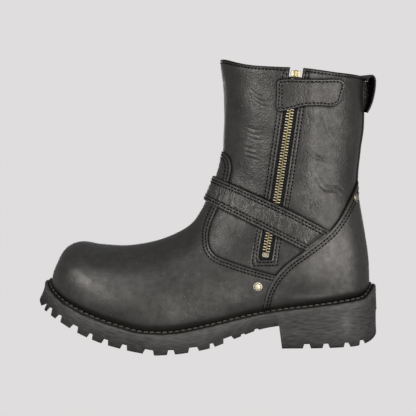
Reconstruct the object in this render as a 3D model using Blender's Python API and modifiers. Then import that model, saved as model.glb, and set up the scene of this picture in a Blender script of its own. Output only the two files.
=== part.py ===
"""Motorcycle boot for the right foot: lasted upper with overlays, side zip, welt, lugged sole and heel.

Tables are in millimetres and the scene is in metres. X runs from toe to heel, -Y is the inner side, Z is up.
"""

import bpy
import bmesh
import math
import numpy as np
from mathutils import Matrix, Vector
from mathutils.bvhtree import BVHTree

MM = 0.001
GAP = 0.3  # space left between curved pieces
WALL = 1.8  # leather of the upper
FAR = 90.0  # reach of side-view cutters, past either side of the boot

# Leather layers, as distances out from the skin of the upper
VAMP_OUT = 1.0
COUNTER_OUT = 2.1
STRAP_IN, STRAP_OUT = 1.4, 3.8
FLAP_IN, FLAP_OUT = 0.9, 2.7
STAY_OUT = 1.6
TAPE_IN, TAPE_OUT = -1.6, -0.6
CHAIN_IN, CHAIN_OUT = -0.3, 0.6

# Sole wall seen from above: x, half width on the inner side, half width on the outer side
PLAN = np.array([
    (-151.0, 0.0, 0.0),
    (-148.2, 16.5, 15.5),
    (-142.0, 28.3, 27.5),
    (-132.0, 38.8, 38.0),
    (-118.0, 47.2, 46.8),
    (-100.0, 53.0, 52.8),
    (-78.0, 56.3, 56.3),
    (-56.0, 56.7, 57.2),
    (-36.0, 54.2, 57.0),
    (-16.0, 49.2, 55.2),
    (4.0, 44.0, 52.2),
    (24.0, 40.0, 48.2),
    (48.0, 38.2, 44.0),
    (72.0, 39.2, 41.6),
    (97.0, 40.4, 40.2),
    (118.0, 39.2, 38.8),
    (134.0, 34.6, 34.2),
    (146.0, 25.8, 25.6),
    (153.3, 14.0, 14.0),
    (156.4, 0.0, 0.0),
])
PLAN_STEPS = 2  # points for each row of the plan

# Heights of the sole: x, top of the rim, seat of the upper, bottom of the lugs, flare of the wall's foot
SOLE = np.array([
    (-151.0, 60.4, 54.8, 43.4, 5.9),
    (-148.0, 57.2, 52.8, 39.4, 5.0),
    (-142.0, 52.3, 48.6, 35.6, 4.0),
    (-132.0, 46.1, 42.0, 29.9, 2.8),
    (-118.0, 39.6, 35.2, 22.0, 1.8),
    (-100.0, 32.4, 27.8, 14.0, 1.0),
    (-78.0, 25.2, 20.6, 7.2, 0.6),
    (-58.0, 19.8, 15.3, 2.4, 0.4),
    (-45.0, 18.5, 14.0, 0.0, 0.4),
    (-26.0, 18.4, 13.9, 0.0, 0.4),
    (-16.0, 19.3, 14.8, 0.7, 0.4),
    (4.0, 22.3, 17.8, 3.4, 0.2),
    (24.0, 26.2, 21.7, 10.0, 0.0),
    (48.0, 30.9, 26.4, 18.0, 0.0),
    (64.0, 33.4, 28.8, 20.8, 0.0),
    (97.0, 37.1, 32.4, 24.0, 0.0),
    (118.0, 39.5, 34.6, 26.0, 0.0),
    (134.0, 41.0, 36.2, 27.0, 0.0),
    (146.0, 42.8, 37.8, 27.8, 0.0),
    (153.3, 48.0, 40.8, 28.2, 0.3),
    (156.4, 50.6, 42.6, 28.4, 0.5),
])
RIM_THICK = 3.0
SEAT_CLEAR = 0.4  # upper and insole above the seat

# Lasted upper, a row for each section from the toe to the collar. A section runs from its top point to its
# end point, which lies on the feather line as far as the heel row and climbs the back seam after it.
# top_x, top_z, end_x, end_z, widest inner, widest outer, place of the widest, top roundness, low roundness
FEATHER = 8.0  # inset of the upper's foot from the sole wall
UPPER = np.array([
    (-143.1, 62.0, -141.4, 0.0, 10.0, 9.6, 0.52, 2.0, 2.0),
    (-141.2, 69.4, -137.2, 0.0, 20.6, 20.0, 0.54, 2.1, 2.0),
    (-137.2, 78.2, -129.5, 0.0, 30.2, 29.6, 0.56, 2.2, 2.0),
    (-130.0, 89.8, -116.5, 0.0, 39.6, 39.0, 0.60, 2.3, 2.0),
    (-117.6, 94.8, -99.5, 0.0, 46.2, 45.8, 0.63, 2.3, 2.0),
    (-98.9, 92.0, -80.0, 0.0, 50.6, 50.6, 0.67, 2.25, 2.0),
    (-76.6, 90.4, -57.5, 0.0, 51.8, 52.4, 0.69, 2.15, 2.0),
    (-54.0, 92.8, -33.0, 0.0, 50.4, 52.9, 0.69, 2.05, 2.0),
    (-33.1, 98.9, -6.0, 0.0, 46.4, 51.0, 0.68, 1.95, 2.0),
    (-14.4, 108.6, 27.0, 0.0, 42.2, 46.8, 0.66, 1.9, 2.0),
    (-3.6, 121.4, 63.0, 0.0, 40.0, 42.6, 0.63, 1.9, 2.0),
    (3.6, 136.0, 98.5, 0.0, 39.2, 40.2, 0.59, 1.95, 2.1),
    (9.6, 151.0, 125.0, 0.0, 39.2, 39.6, 0.55, 2.0, 2.2),
    (14.0, 163.6, 140.0, 0.0, 39.6, 39.8, 0.53, 2.05, 2.2),
    (16.5, 175.6, 147.0, 0.0, 40.4, 40.4, 0.52, 2.1, 2.2),
    (17.4, 185.0, 149.2, 43.4, 41.2, 41.2, 0.51, 2.1, 2.2),
    (18.4, 195.6, 150.2, 60.0, 42.2, 42.2, 0.50, 2.1, 2.2),
    (18.9, 206.0, 148.4, 82.0, 43.2, 43.2, 0.50, 2.1, 2.2),
    (19.2, 216.0, 145.0, 104.0, 44.2, 44.2, 0.50, 2.1, 2.2),
    (19.2, 226.0, 140.2, 127.0, 45.2, 45.2, 0.50, 2.1, 2.2),
    (18.8, 235.0, 140.0, 152.0, 46.0, 46.0, 0.50, 2.1, 2.2),
    (18.1, 243.5, 142.2, 176.0, 46.6, 46.6, 0.50, 2.1, 2.2),
    (17.4, 251.6, 145.0, 198.0, 47.2, 47.2, 0.50, 2.1, 2.2),
    (16.9, 258.0, 145.4, 222.0, 47.8, 47.8, 0.50, 2.1, 2.2),
    (15.4, 267.0, 146.4, 249.0, 48.2, 48.2, 0.50, 2.1, 2.2),
])
TOE_TIP_X = -143.0
HEEL_ROW = 15  # the row whose end closes the feather line
ROW_STEPS = (2, 2, 1, 2, 1, 1, 1, 1, 1, 1, 2, 2, 1, 1, 1, 1, 1, 1, 1, 1, 1, 1, 1, 1)  # sections for each row
TOP_POINTS, LOW_POINTS = 6, 6

# Edges of the panels in side view, x and z
COUNTER_EDGE = [(49.6, 35.8), (51.7, 46.6), (54.6, 55.0), (59.3, 63.2), (64.8, 70.4), (73.2, 78.2), (83.1, 85.4),
                (95.8, 94.2), (108.7, 104.2), (119.2, 116.2), (128.0, 130.0), (135.0, 140.6), (142.0, 146.4), (154.0, 149.0)]
VAMP_EDGE = [(-4.0, 177.4), (9.0, 178.2), (16.4, 177.0), (22.3, 172.8), (24.8, 164.0), (22.0, 151.0), (16.6, 137.6),
             (10.5, 124.8), (4.8, 112.2), (2.5, 102.0), (3.8, 92.0), (9.2, 85.2), (21.2, 80.1), (38.2, 74.1), (54.0, 69.2)]
STRAP_TOP = [(-16.0, 165.0), (8.2, 154.9), (22.0, 149.9), (53.6, 136.0), (76.1, 125.3), (107.6, 107.6)]
STRAP_LOW = [(-26.0, 143.6), (-2.4, 132.8), (11.7, 127.2), (46.8, 110.4), (68.1, 99.6), (86.4, 89.6)]
FLAP_EDGE = [(65.8, 212.8), (76.3, 213.7), (88.0, 216.6), (101.0, 216.8), (113.6, 215.9), (119.8, 219.6), (122.8, 227.6),
             (124.6, 235.0), (121.4, 238.8), (104.0, 239.6), (88.3, 240.0), (71.0, 240.5), (66.6, 239.0), (65.6, 226.7)]

# Collar: its top edge on the inner side, and how far the outer side lies below it
COLLAR_EDGE = [(-10.0, 268.0), (10.0, 264.4), (19.0, 261.6), (31.0, 257.0), (44.4, 253.6), (69.0, 251.0), (87.0, 249.8),
               (104.0, 247.6), (119.0, 245.6), (134.0, 244.4), (148.0, 243.4), (165.0, 242.0)]
COLLAR_TILT, COLLAR_NEAR = 0.05, -47.0  # fall for each millimetre across, from this side

# Zip in side view: its middle line, and sizes across it
ZIP_LINE = [(88.0, 280.0), (82.7, 247.9), (76.8, 212.6), (69.9, 169.9), (63.5, 131.5), (56.4, 102.2), (52.6, 80.6)]
ZIP_TOP, ZIP_FOOT = 241.4, 81.2
SLOT_HALF = 5.8
CHAIN_HALF = 2.7
STOP_SIZE = (6.2, 1.6, 4.6)
SLIDER_SIZE = (7.4, 3.2, 6.4)
SLIDER_AT = (81.9, 244.7)
STOP_AT = (53.2, 85.4)

# Back of the shaft
STAY_HALF, STAY_FOOT, STAY_TOP = 9.0, 150.0, 240.6
LOOP_HALF, LOOP_THICK = 13.0, 2.2
LOOP_LINE = [(148.4, 237.6), (150.4, 240.8), (153.2, 242.4), (155.4, 240.2), (155.7, 234.6), (154.8, 227.4), (152.9, 219.8),
             (150.4, 213.6), (148.0, 209.4)]

RIVETS = {"rivet_side": (45.6, 57.4, VAMP_OUT + 0.5), "rivet_back": (135.6, 133.0, COUNTER_OUT + 0.9)}  # x, z, height
RIVET_RADIUS, RIVET_THICK = 4.2, 1.6

# Welt: strip inside the rim, rising to the leather
WELT_IN, WELT_UP, WELT_DROP = 10.0, 2.2, 0.8
PANEL_LIFT, PANEL_INSET = 0.6, 7.2  # panels end this far over the welt, and this far inside the sole wall

# Channels between the lugs: x on the wall, width, for both sides
LUG_GAPS = [(-150.0, 2.6), (-145.2, 3.0), (-135.6, 3.4), (-121.5, 6.0), (-105.0, 3.2), (-92.0, 4.4), (-75.2, 4.6),
            (-54.0, 8.4), (-33.0, 5.4), (-13.2, 8.0), (2.8, 3.0), (17.4, 8.4), (31.5, 3.0), (43.0, 3.0)]
LUG_DEPTH, LUG_REACH, LUG_FAN = 4.8, 18.0, -140.0  # channels fan out round the toe before this x
HEEL_GAPS = [(87.2, 5.6), (106.0, 4.8), (125.0, 4.4), (139.0, 4.0)]
HEEL_BREAST, HEEL_RAKE, HEEL_SKEW = 64.2, 2.3, 4.5  # the outer corner lies further back by the skew
HEEL_WAIST, HEEL_WAIST_IN = 17.0, 1.4
HEEL_BEVEL = [(134.0, 0.0), (142.0, 1.4), (150.0, 3.4), (158.0, 6.4)]  # x and height where the back edge lifts
INSOLE_THICK, INSOLE_CLEAR = 3.0, 1.4

for old in list(bpy.data.objects):
    bpy.data.objects.remove(old)
parts = bpy.data.collections.new("motorcycle_boot")
cutters = bpy.data.collections.new("cutters")
cutters.hide_render = True
for group in (parts, cutters):
    bpy.context.scene.collection.children.link(group)


def material(name, colour, roughness, metallic=0.0):
    made = bpy.data.materials.new(name)
    made.use_nodes = True
    shader = made.node_tree.nodes["Principled BSDF"]
    shader.inputs["Base Color"].default_value = (*colour, 1.0)
    shader.inputs["Roughness"].default_value = roughness
    shader.inputs["Metallic"].default_value = metallic
    return made


LEATHER = material("black_leather", (0.028, 0.027, 0.026), 0.5)
STRAP_LEATHER = material("grained_leather", (0.033, 0.032, 0.031), 0.55)
RUBBER = material("black_rubber", (0.018, 0.018, 0.018), 0.75)
BRASS = material("antique_brass", (0.45, 0.36, 0.19), 0.35, 1.0)
TAPE = material("zip_tape_cloth", (0.008, 0.008, 0.008), 0.85)
BOARD = material("insole_board", (0.12, 0.09, 0.06), 0.8)


def new_object(name, points, faces, made_of=None):
    """Mesh object from points in millimetres: a part when it has a material, a cutter when it has none."""
    mesh = bpy.data.meshes.new(name)
    mesh.from_pydata([Vector(p) * MM for p in points], [], faces)
    bm = bmesh.new()
    bm.from_mesh(mesh)
    bmesh.ops.recalc_face_normals(bm, faces=bm.faces)
    bm.to_mesh(mesh)
    bm.free()
    obj = bpy.data.objects.new(name, mesh)
    if made_of:
        mesh.materials.append(made_of)
        parts.objects.link(obj)
    else:
        obj.hide_render = True
        obj.display_type = "WIRE"
        cutters.objects.link(obj)
    return obj


def boolean(obj, operation, other):
    step = obj.modifiers.new(f"{operation.lower()} {other.name}", "BOOLEAN")
    step.operation = operation
    step.solver = "EXACT"
    step.object = other


def smooth(x, table, column):
    """Cubic through one column of a table whose first column is x."""
    xs, ys = table[:, 0], table[:, column]
    slope = np.gradient(ys, xs)
    i = np.clip(np.searchsorted(xs, x) - 1, 0, len(xs) - 2)
    step = xs[i + 1] - xs[i]
    t = np.clip((x - xs[i]) / step, 0, 1)
    return ((1 + 2 * t) * (1 - t) ** 2 * ys[i] + t * (1 - t) ** 2 * step * slope[i]
            + t * t * (3 - 2 * t) * ys[i + 1] + t * t * (t - 1) * step * slope[i + 1])


def through(rows, steps, closed=False):
    """Centripetal spline through rows of numbers, with so many points for each span."""
    rows = np.asarray(rows, float)
    count = len(rows) if closed else len(rows) - 1
    if np.isscalar(steps):
        steps = [steps] * count
    made = []
    for i in range(count):
        if closed:
            p = [rows[(i + k) % len(rows)] for k in (-1, 0, 1, 2)]
        else:
            p = [rows[i - 1] if i else 2 * rows[0] - rows[1], rows[i], rows[i + 1],
                 rows[i + 2] if i + 2 < len(rows) else 2 * rows[-1] - rows[-2]]
        t = np.cumsum([0.0] + [max(np.linalg.norm(p[k + 1] - p[k]), 1e-6) ** 0.5 for k in range(3)])
        for u in np.linspace(t[1], t[2], steps[i], endpoint=False):
            a = [((t[k + 1] - u) * p[k] + (u - t[k]) * p[k + 1]) / (t[k + 1] - t[k]) for k in range(3)]
            b = [((t[k + 2] - u) * a[k] + (u - t[k]) * a[k + 1]) / (t[k + 2] - t[k]) for k in range(2)]
            made.append(((t[2] - u) * b[0] + (u - t[1]) * b[1]) / (t[2] - t[1]))
    if not closed:
        made.append(rows[-1])
    return np.array(made)


# Sole plan

def outline(inset, steps=PLAN_STEPS):
    """Points round the sole from the toe along the inner side, moved in square to the wall."""
    corners = [(x, -inner) for x, inner, _ in PLAN] + [(x, outer) for x, _, outer in PLAN[-2:0:-1]]
    wall = through(corners, steps, closed=True)
    along = np.roll(wall, -1, axis=0) - np.roll(wall, 1, axis=0)
    inward = np.column_stack([-along[:, 1], along[:, 0]])
    inward /= np.linalg.norm(inward, axis=1)[:, None]
    return wall + inward * np.reshape(inset, (-1, 1))


def half_width(x, inset):
    """Half widths of the inner and outer side at x, inside an inset outline."""
    wall = outline(inset, 12)
    middle = len(wall) // 2
    inner, outer = wall[:middle + 1], np.vstack([wall[:1], wall[:middle - 1:-1]])
    return -np.interp(x, inner[:, 0], inner[:, 1]), np.interp(x, outer[:, 0], outer[:, 1])


def level(x, column):
    return smooth(x, SOLE, column)


def rim(x):
    return level(x, 1)


def seat(x):
    return level(x, 2)


def tread(x):
    return np.maximum(level(x, 3), 0.0)


def stacked(name, rings, made_of):
    """Solid from closed rings round the sole, lowest first, capped across its width at both ends."""
    size = len(rings[0])
    middle = size // 2
    faces = []
    for k in range(len(rings) - 1):
        a, b = k * size, (k + 1) * size
        faces += [(a + i, a + (i + 1) % size, b + (i + 1) % size, b + i) for i in range(size)]
    for base in (0, (len(rings) - 1) * size):
        faces.append((base, base + 1, base + size - 1))
        faces += [(base + i, base + i + 1, base + size - i - 1, base + size - i) for i in range(1, middle - 1)]
        faces.append((base + middle - 1, base + middle, base + middle + 1))
    return new_object(name, np.vstack(rings), faces, made_of)


def ring(inset, height):
    return np.column_stack([outline(inset), height])


WALL_X = outline(0.0)[:, 0]
flare = level(WALL_X, 4)
outsole = stacked("outsole", [
    ring(-flare, tread(WALL_X)),
    ring(-0.4 * flare, 0.55 * tread(WALL_X) + 0.45 * rim(WALL_X)),
    ring(0.0, rim(WALL_X) - 1.4),
    ring(0.9, rim(WALL_X)),
    ring(RIM_THICK - 0.7, rim(WALL_X)),
    ring(RIM_THICK, rim(WALL_X) - 1.0),
    ring(RIM_THICK, seat(outline(RIM_THICK)[:, 0])),
], RUBBER)

welt = stacked("welt", [
    ring(RIM_THICK + GAP, seat(outline(RIM_THICK)[:, 0]) + GAP),
    ring(RIM_THICK + GAP, rim(WALL_X) - WELT_DROP),
    ring(RIM_THICK + 2.4, rim(WALL_X) + WELT_UP),
    ring(WELT_IN, rim(WALL_X) + WELT_UP),
], LEATHER)

inset = FEATHER + WALL + INSOLE_CLEAR
INSOLE_X = outline(inset)[:, 0]
insole = stacked("insole", [
    ring(inset, seat(INSOLE_X) + SEAT_CLEAR),
    ring(inset, seat(INSOLE_X) + SEAT_CLEAR + INSOLE_THICK),
], BOARD)


# Upper: one grid of points, moved out or in along its normals

def sections():
    """Grid of points: a row for each section, from the inner feather or back seam over the top to the outer side."""
    rows = UPPER.copy()
    rows[:HEEL_ROW, 3] = seat(rows[:HEEL_ROW, 2]) + SEAT_CLEAR
    fine = through(rows, ROW_STEPS)
    heel = sum(ROW_STEPS[:HEEL_ROW])
    tip = np.array([TOE_TIP_X, 0.0, seat(TOE_TIP_X) + SEAT_CLEAR])
    grid = [np.tile(tip, (2 * (TOP_POINTS + LOW_POINTS) + 1, 1))]
    for k, (top_x, top_z, end_x, end_z, inner, outer, place, n, m) in enumerate(fine):
        ends = (0.0, 0.0)
        if k < heel:
            ends = half_width(end_x, FEATHER)
            end_z = seat(end_x) + SEAT_CLEAR
        sides = []
        for widest, end in ((inner, ends[0]), (outer, ends[1])):
            turn = np.linspace(0, math.pi / 2, TOP_POINTS + 1)
            along = place * (1 - np.cos(turn) ** (2 / n))
            out = widest * np.sin(turn) ** (2 / n)
            share = min(end / widest, 0.995)
            depth = (1 - place) / (1 - share ** m) ** (1 / m)
            turn = np.linspace(0, math.acos(share ** (m / 2)), LOW_POINTS + 1)[1:]
            along = np.append(along, place + depth * np.sin(turn) ** (2 / m))
            out = np.append(out, widest * np.cos(turn) ** (2 / m))
            out[-1] = end
            sides.append((along, out))
        (along_in, out_in), (along_out, out_out) = sides
        along = np.append(along_in[::-1], along_out[1:])
        across = np.append(-out_in[::-1], out_out[1:])
        grid.append(np.column_stack([top_x + along * (end_x - top_x), across, top_z + along * (end_z - top_z)]))
    return np.array(grid), heel + 1


GRID, HEEL = sections()
ROWS, COLUMNS = GRID.shape[:2]


def joined_index():
    """Number of each grid point once the toe tip and the back seam are single points."""
    index = np.zeros((ROWS, COLUMNS), int)
    count = 1
    for r in range(1, ROWS):
        width = COLUMNS if r < HEEL else COLUMNS - 1
        index[r, :width] = range(count, count + width)
        if r >= HEEL:
            index[r, -1] = index[r, 0]
        count += width
    return index, count


INDEX, POINTS = joined_index()


def skin_faces():
    faces = []
    for r in range(ROWS - 1):
        for c in range(COLUMNS - 1):
            a, b, d, e = INDEX[r, c], INDEX[r, c + 1], INDEX[r + 1, c + 1], INDEX[r + 1, c]
            if c < COLUMNS // 2:
                pair = ((a, b, d), (a, d, e))
            else:
                pair = ((a, b, e), (b, d, e))
            faces += [face for face in pair if len(set(face)) == 3]
    return faces


SKIN_FACES = skin_faces()
SKIN = np.zeros((POINTS, 3))
SKIN[INDEX.ravel()] = GRID.reshape(-1, 3)


def outward():
    """Normals of the skin's points."""
    bm = bmesh.new()
    made = [bm.verts.new(p) for p in SKIN]
    for face in SKIN_FACES:
        bm.faces.new([made[i] for i in face])
    bmesh.ops.recalc_face_normals(bm, faces=bm.faces)
    bm.normal_update()
    normals = np.array([v.normal for v in made])
    bm.free()
    collar = normals[INDEX[-1, COLUMNS // 2]]
    return normals if collar[0] < 0 else -normals


NORMALS = outward()
SKIRT = 9.0  # closed forms reach this far under the feather line


def form(name, distance, made_of=None):
    """The last as a closed solid, at a distance out from the skin."""
    points = SKIN + NORMALS * distance
    inner = [INDEX[r, 0] for r in range(HEEL)]
    outer = [INDEX[r, -1] for r in range(HEEL)]
    edge = inner + [INDEX[HEEL, 0]] + outer[:0:-1]
    foot = points[edge] - (0, 0, SKIRT)
    base = len(points)
    faces = list(SKIN_FACES)
    size = len(edge)
    for i in range(size):
        k = (i + 1) % size
        faces += [(edge[i], edge[k], base + k), (edge[i], base + k, base + i)]
    faces.append((base, base + 1, base + size - 1))
    faces += [(base + i, base + i + 1, base + size - i - 1, base + size - i) for i in range(1, HEEL - 1)]
    faces.append((base + HEEL - 1, base + HEEL, base + HEEL + 1))
    top = INDEX[-1]
    faces.append((top[0], top[1], top[COLUMNS - 2]))
    faces += [(top[c], top[c + 1], top[COLUMNS - 2 - c], top[COLUMNS - 1 - c]) for c in range(1, COLUMNS // 2 - 1)]
    faces.append((top[COLUMNS // 2 - 1], top[COLUMNS // 2], top[COLUMNS // 2 + 1]))
    return new_object(name, np.vstack([points, foot]), faces, made_of)


def prism(name, edge, near=-FAR, far=FAR):
    """Closed side-view outline pushed through from near to far."""
    size = len(edge)
    points = [(x, near, z) for x, z in edge] + [(x, far, z) for x, z in edge]
    faces = [tuple(range(size)), tuple(range(2 * size - 1, size - 1, -1))]
    faces += [(i, size + i, size + (i + 1) % size, (i + 1) % size) for i in range(size)]
    return new_object(name, points, faces)


def layer(name, inside, outside, shape, made_of):
    """Leather between two forms of the last, inside a cutter."""
    obj = form(name, outside, made_of)
    boolean(obj, "DIFFERENCE", form(f"{name} inside", inside))
    boolean(obj, "INTERSECT", shape)
    return obj


def over_welt(start, end):
    """Lower edge of a panel, along the top of the welt from heel to toe."""
    half = len(WALL_X) // 2
    x = outline(PANEL_INSET)[half::-1, 0]
    z = rim(WALL_X[half::-1]) + WELT_UP + PANEL_LIFT
    inside = (x < start - 1) & (x > end + 1)
    x = np.concatenate([[start], x[inside], [end]])
    return np.column_stack([x, np.interp(x, outline(PANEL_INSET)[:half + 1, 0], z[::-1])])


def shifted(edge, distance):
    """An open side-view edge moved square to itself, towards its left."""
    along = np.gradient(edge, axis=0)
    along /= np.linalg.norm(along, axis=1)[:, None]
    return edge + distance * np.column_stack([-along[:, 1], along[:, 0]])


COUNTER_LINE = through(COUNTER_EDGE, 2)
counter_low = over_welt(155.6, COUNTER_EDGE[1][0] - 1.0)
counter_shape = prism("counter shape", np.vstack([
    COUNTER_LINE[COUNTER_LINE[:, 1] > counter_low[-1, 1] + 1.0], [(170.0, 149.5), (170.0, counter_low[0, 1])], counter_low]))
counter = layer("counter", GAP, COUNTER_OUT, counter_shape, LEATHER)

behind = shifted(COUNTER_LINE, GAP + 0.2)
vamp_line = through(VAMP_EDGE, 2)
vamp_join = behind[(behind[:, 1] < VAMP_EDGE[-1][1] - 1.0) & (behind[:, 1] > counter_low[-1, 1] + 1.0)][::-1]
vamp_low = over_welt(vamp_join[-1, 0], -151.0)
vamp_shape = prism("vamp shape", np.vstack([vamp_line, [(54.6, 66.6)], vamp_join, vamp_low, [(-170.0, 62.0), (-170.0, 176.5)]]))

upper = new_object("upper", SKIN, SKIN_FACES, LEATHER)
wall = upper.modifiers.new("wall", "SOLIDIFY")
wall.thickness = WALL * MM
wall.offset = -1.0 if Vector(upper.data.polygons[0].normal).x < 0 else 1.0
wall.use_even_offset = True
step = form("vamp step", VAMP_OUT)
boolean(step, "DIFFERENCE", form("vamp step inside", -WALL / 2))
boolean(step, "INTERSECT", vamp_shape)
boolean(upper, "UNION", step)

strap_end = behind[(behind[:, 0] > STRAP_LOW[-1][0] + 1.0) & (behind[:, 0] < STRAP_TOP[-1][0] - 1.0)]
strap_shape = prism("strap shape", np.vstack([through(STRAP_LOW, 3), strap_end, through(STRAP_TOP, 3)[::-1]]))
strap = layer("strap", STRAP_IN, STRAP_OUT, strap_shape, STRAP_LEATHER)

flap_shape = prism("flap shape", through(FLAP_EDGE, 2, closed=True), -FAR, 0.0)
zip_flap = layer("zip_flap", FLAP_IN, FLAP_OUT, flap_shape, STRAP_LEATHER)


def band(name, half, top, foot):
    """Side-view cutter along the zip, on the inner side only."""
    line = through(ZIP_LINE, 3)[::-1]
    heights = np.append(foot, np.append(line[(line[:, 1] > foot + 2) & (line[:, 1] < top - 2), 1], top))
    middle = np.column_stack([np.interp(heights, line[:, 1], line[:, 0]), heights])
    return prism(name, np.vstack([middle + (half, 0), (middle - (half, 0))[::-1]]), -FAR, 0.0)


collar = prism("collar trim", np.vstack([through(COLLAR_EDGE, 2), [(165.0, 290.0), (-10.0, 290.0)]]))
for point in collar.data.vertices:
    point.co.z -= (point.co.y - COLLAR_NEAR * MM) * COLLAR_TILT
boolean(upper, "DIFFERENCE", collar)
boolean(upper, "DIFFERENCE", band("zip slot", SLOT_HALF, 275.0, ZIP_FOOT))
zip_tape = layer("zip_tape", TAPE_IN, TAPE_OUT, band("tape shape", SLOT_HALF - GAP, ZIP_TOP, ZIP_FOOT + GAP), TAPE)
zip_chain = layer("zip_chain", CHAIN_IN, CHAIN_OUT, band("chain shape", CHAIN_HALF, ZIP_TOP - 0.6, STOP_AT[1] + 3.0), BRASS)

stay_edge = [(STAY_HALF, STAY_FOOT), (STAY_HALF, STAY_TOP), (-STAY_HALF, STAY_TOP), (-STAY_HALF, STAY_FOOT)]
stay_shape = prism("stay shape", stay_edge, -170.0, -110.0)
stay_shape.matrix_world = Matrix.Rotation(math.pi / 2, 4, "Z")
backstay = layer("backstay", GAP, STAY_OUT, stay_shape, LEATHER)

loop_mid = through(LOOP_LINE, 3)
loop_edge = np.vstack([shifted(loop_mid, LOOP_THICK / 2), shifted(loop_mid, -LOOP_THICK / 2)[::-1]])
pull_loop = prism("pull_loop", loop_edge, -LOOP_HALF, LOOP_HALF)
cutters.objects.unlink(pull_loop)
parts.objects.link(pull_loop)
pull_loop.hide_render = False
pull_loop.display_type = "TEXTURED"
pull_loop.data.materials.append(LEATHER)
boolean(pull_loop, "DIFFERENCE", form("loop seat", STAY_OUT + GAP))

TREE = BVHTree.FromPolygons([Vector(p) for p in SKIN], SKIN_FACES)


def on_skin(x, z):
    """Point and outward normal of the inner side at x and z."""
    spot, normal, _, _ = TREE.ray_cast(Vector((x, -200.0, z)), Vector((0, 1, 0)))
    return spot, normal if normal.y < 0 else -normal


def standing(obj, spot, normal, up=Vector((0, 0, 1))):
    """Sets an object on a point with its own Z along the normal and its Y upwards."""
    right = up.cross(normal).normalized()
    turn = Matrix((right, normal.cross(right), normal)).transposed().to_4x4()
    obj.matrix_world = Matrix.Translation(spot * MM) @ turn


def block(name, size, made_of, bevel=0.4):
    across, thick, tall = size
    corners = [(x, y, z) for x in (-across / 2, across / 2) for y in (-tall / 2, tall / 2) for z in (0, thick)]
    obj = new_object(name, corners, [(0, 1, 3, 2), (4, 6, 7, 5), (0, 4, 5, 1), (2, 3, 7, 6), (0, 2, 6, 4), (1, 5, 7, 3)], made_of)
    edge = obj.modifiers.new("edges", "BEVEL")
    edge.width = bevel * MM
    return obj


spot, normal = on_skin(*STOP_AT)
zip_stop = block("zip_stop", STOP_SIZE, BRASS)
standing(zip_stop, spot + normal * CHAIN_IN, normal)
spot, normal = on_skin(*SLIDER_AT)
zip_slider = block("zip_slider", SLIDER_SIZE, BRASS, 0.8)
standing(zip_slider, spot + normal * TAPE_OUT, normal)

for name, (x, z, lift) in RIVETS.items():
    turn = np.linspace(0, 2 * math.pi, 20, endpoint=False)
    disc = np.column_stack([np.cos(turn), np.sin(turn)]) * RIVET_RADIUS
    low = np.column_stack([disc, np.zeros(20)])
    mid = np.column_stack([disc, np.full(20, RIVET_THICK * 0.5)])
    top = np.column_stack([disc * 0.72, np.full(20, RIVET_THICK)])
    faces = [tuple(range(20))[::-1], tuple(range(40, 60))]
    faces += [(b + i, b + (i + 1) % 20, b + 20 + (i + 1) % 20, b + 20 + i) for b in (0, 20) for i in range(20)]
    rivet = new_object(name, np.vstack([low, mid, top]), faces, BRASS)
    spot, normal = on_skin(x, z)
    standing(rivet, spot + normal * lift, normal)


# Welt, insole and sole meet the leather

boolean(welt, "DIFFERENCE", form("welt seat", GAP))


def channel(name, x, side, width, floor, depth):
    """Box across the sole's edge, square to the wall, that parts two lugs."""
    wall = outline(0.0, 12)
    middle = len(wall) // 2
    half = wall[:middle + 1] if side < 0 else np.vstack([wall[:1], wall[:middle - 1:-1]])
    i = int(np.clip(np.searchsorted(half[:, 0], x), 1, len(half) - 2))
    along = half[i + 1] - half[i - 1]
    along = Vector((along[0], along[1], 0)).normalized()
    rise = (floor(x + 1.0) - floor(x - 1.0)) / 2.0
    inward = Vector((along.y, -along.x, 0)) * (1 if side > 0 else -1)
    if x > LUG_FAN:
        inward, along = Vector((0, -side, 0)), Vector((1, 0, 0))
    lean = Vector((along.x, along.y, rise * along.x)).normalized()
    up = inward.cross(lean) if inward.cross(lean).z > 0 else lean.cross(inward)
    start = Vector((*half[i], floor(half[i][0])))
    points = [start + lean * (u * width / 2 * (1.0 if w < 0 else 0.7)) + inward * v + up * w
              for u in (-1, 1) for v in (-9.0, LUG_REACH) for w in (-7.0, depth)]
    return new_object(name, points, [(0, 1, 3, 2), (4, 6, 7, 5), (0, 4, 5, 1), (2, 3, 7, 6), (0, 2, 6, 4), (1, 5, 7, 3)])


for k, (x, width) in enumerate(LUG_GAPS):
    for side in (-1, 1):
        depth = LUG_DEPTH if x < 25 else 1.6
        boolean(outsole, "DIFFERENCE", channel(f"lug {k} {side}", x, side, width, tread, depth))


# Heel block

def heel_floor(x):
    rows = np.array(HEEL_BEVEL)
    return np.interp(x, rows[:, 0], rows[:, 1])


def heel_ring(inset, breast, height):
    keep = outline(inset)[WALL_X > HEEL_BREAST + HEEL_RAKE + HEEL_SKEW + 2.0]
    inner, outer = half_width(np.array([breast, breast + HEEL_SKEW]), inset)
    loop = np.vstack([(breast, -inner[0]), keep, (breast + HEEL_SKEW, outer[1])])
    return np.column_stack([loop, height(loop[:, 0])])


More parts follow.
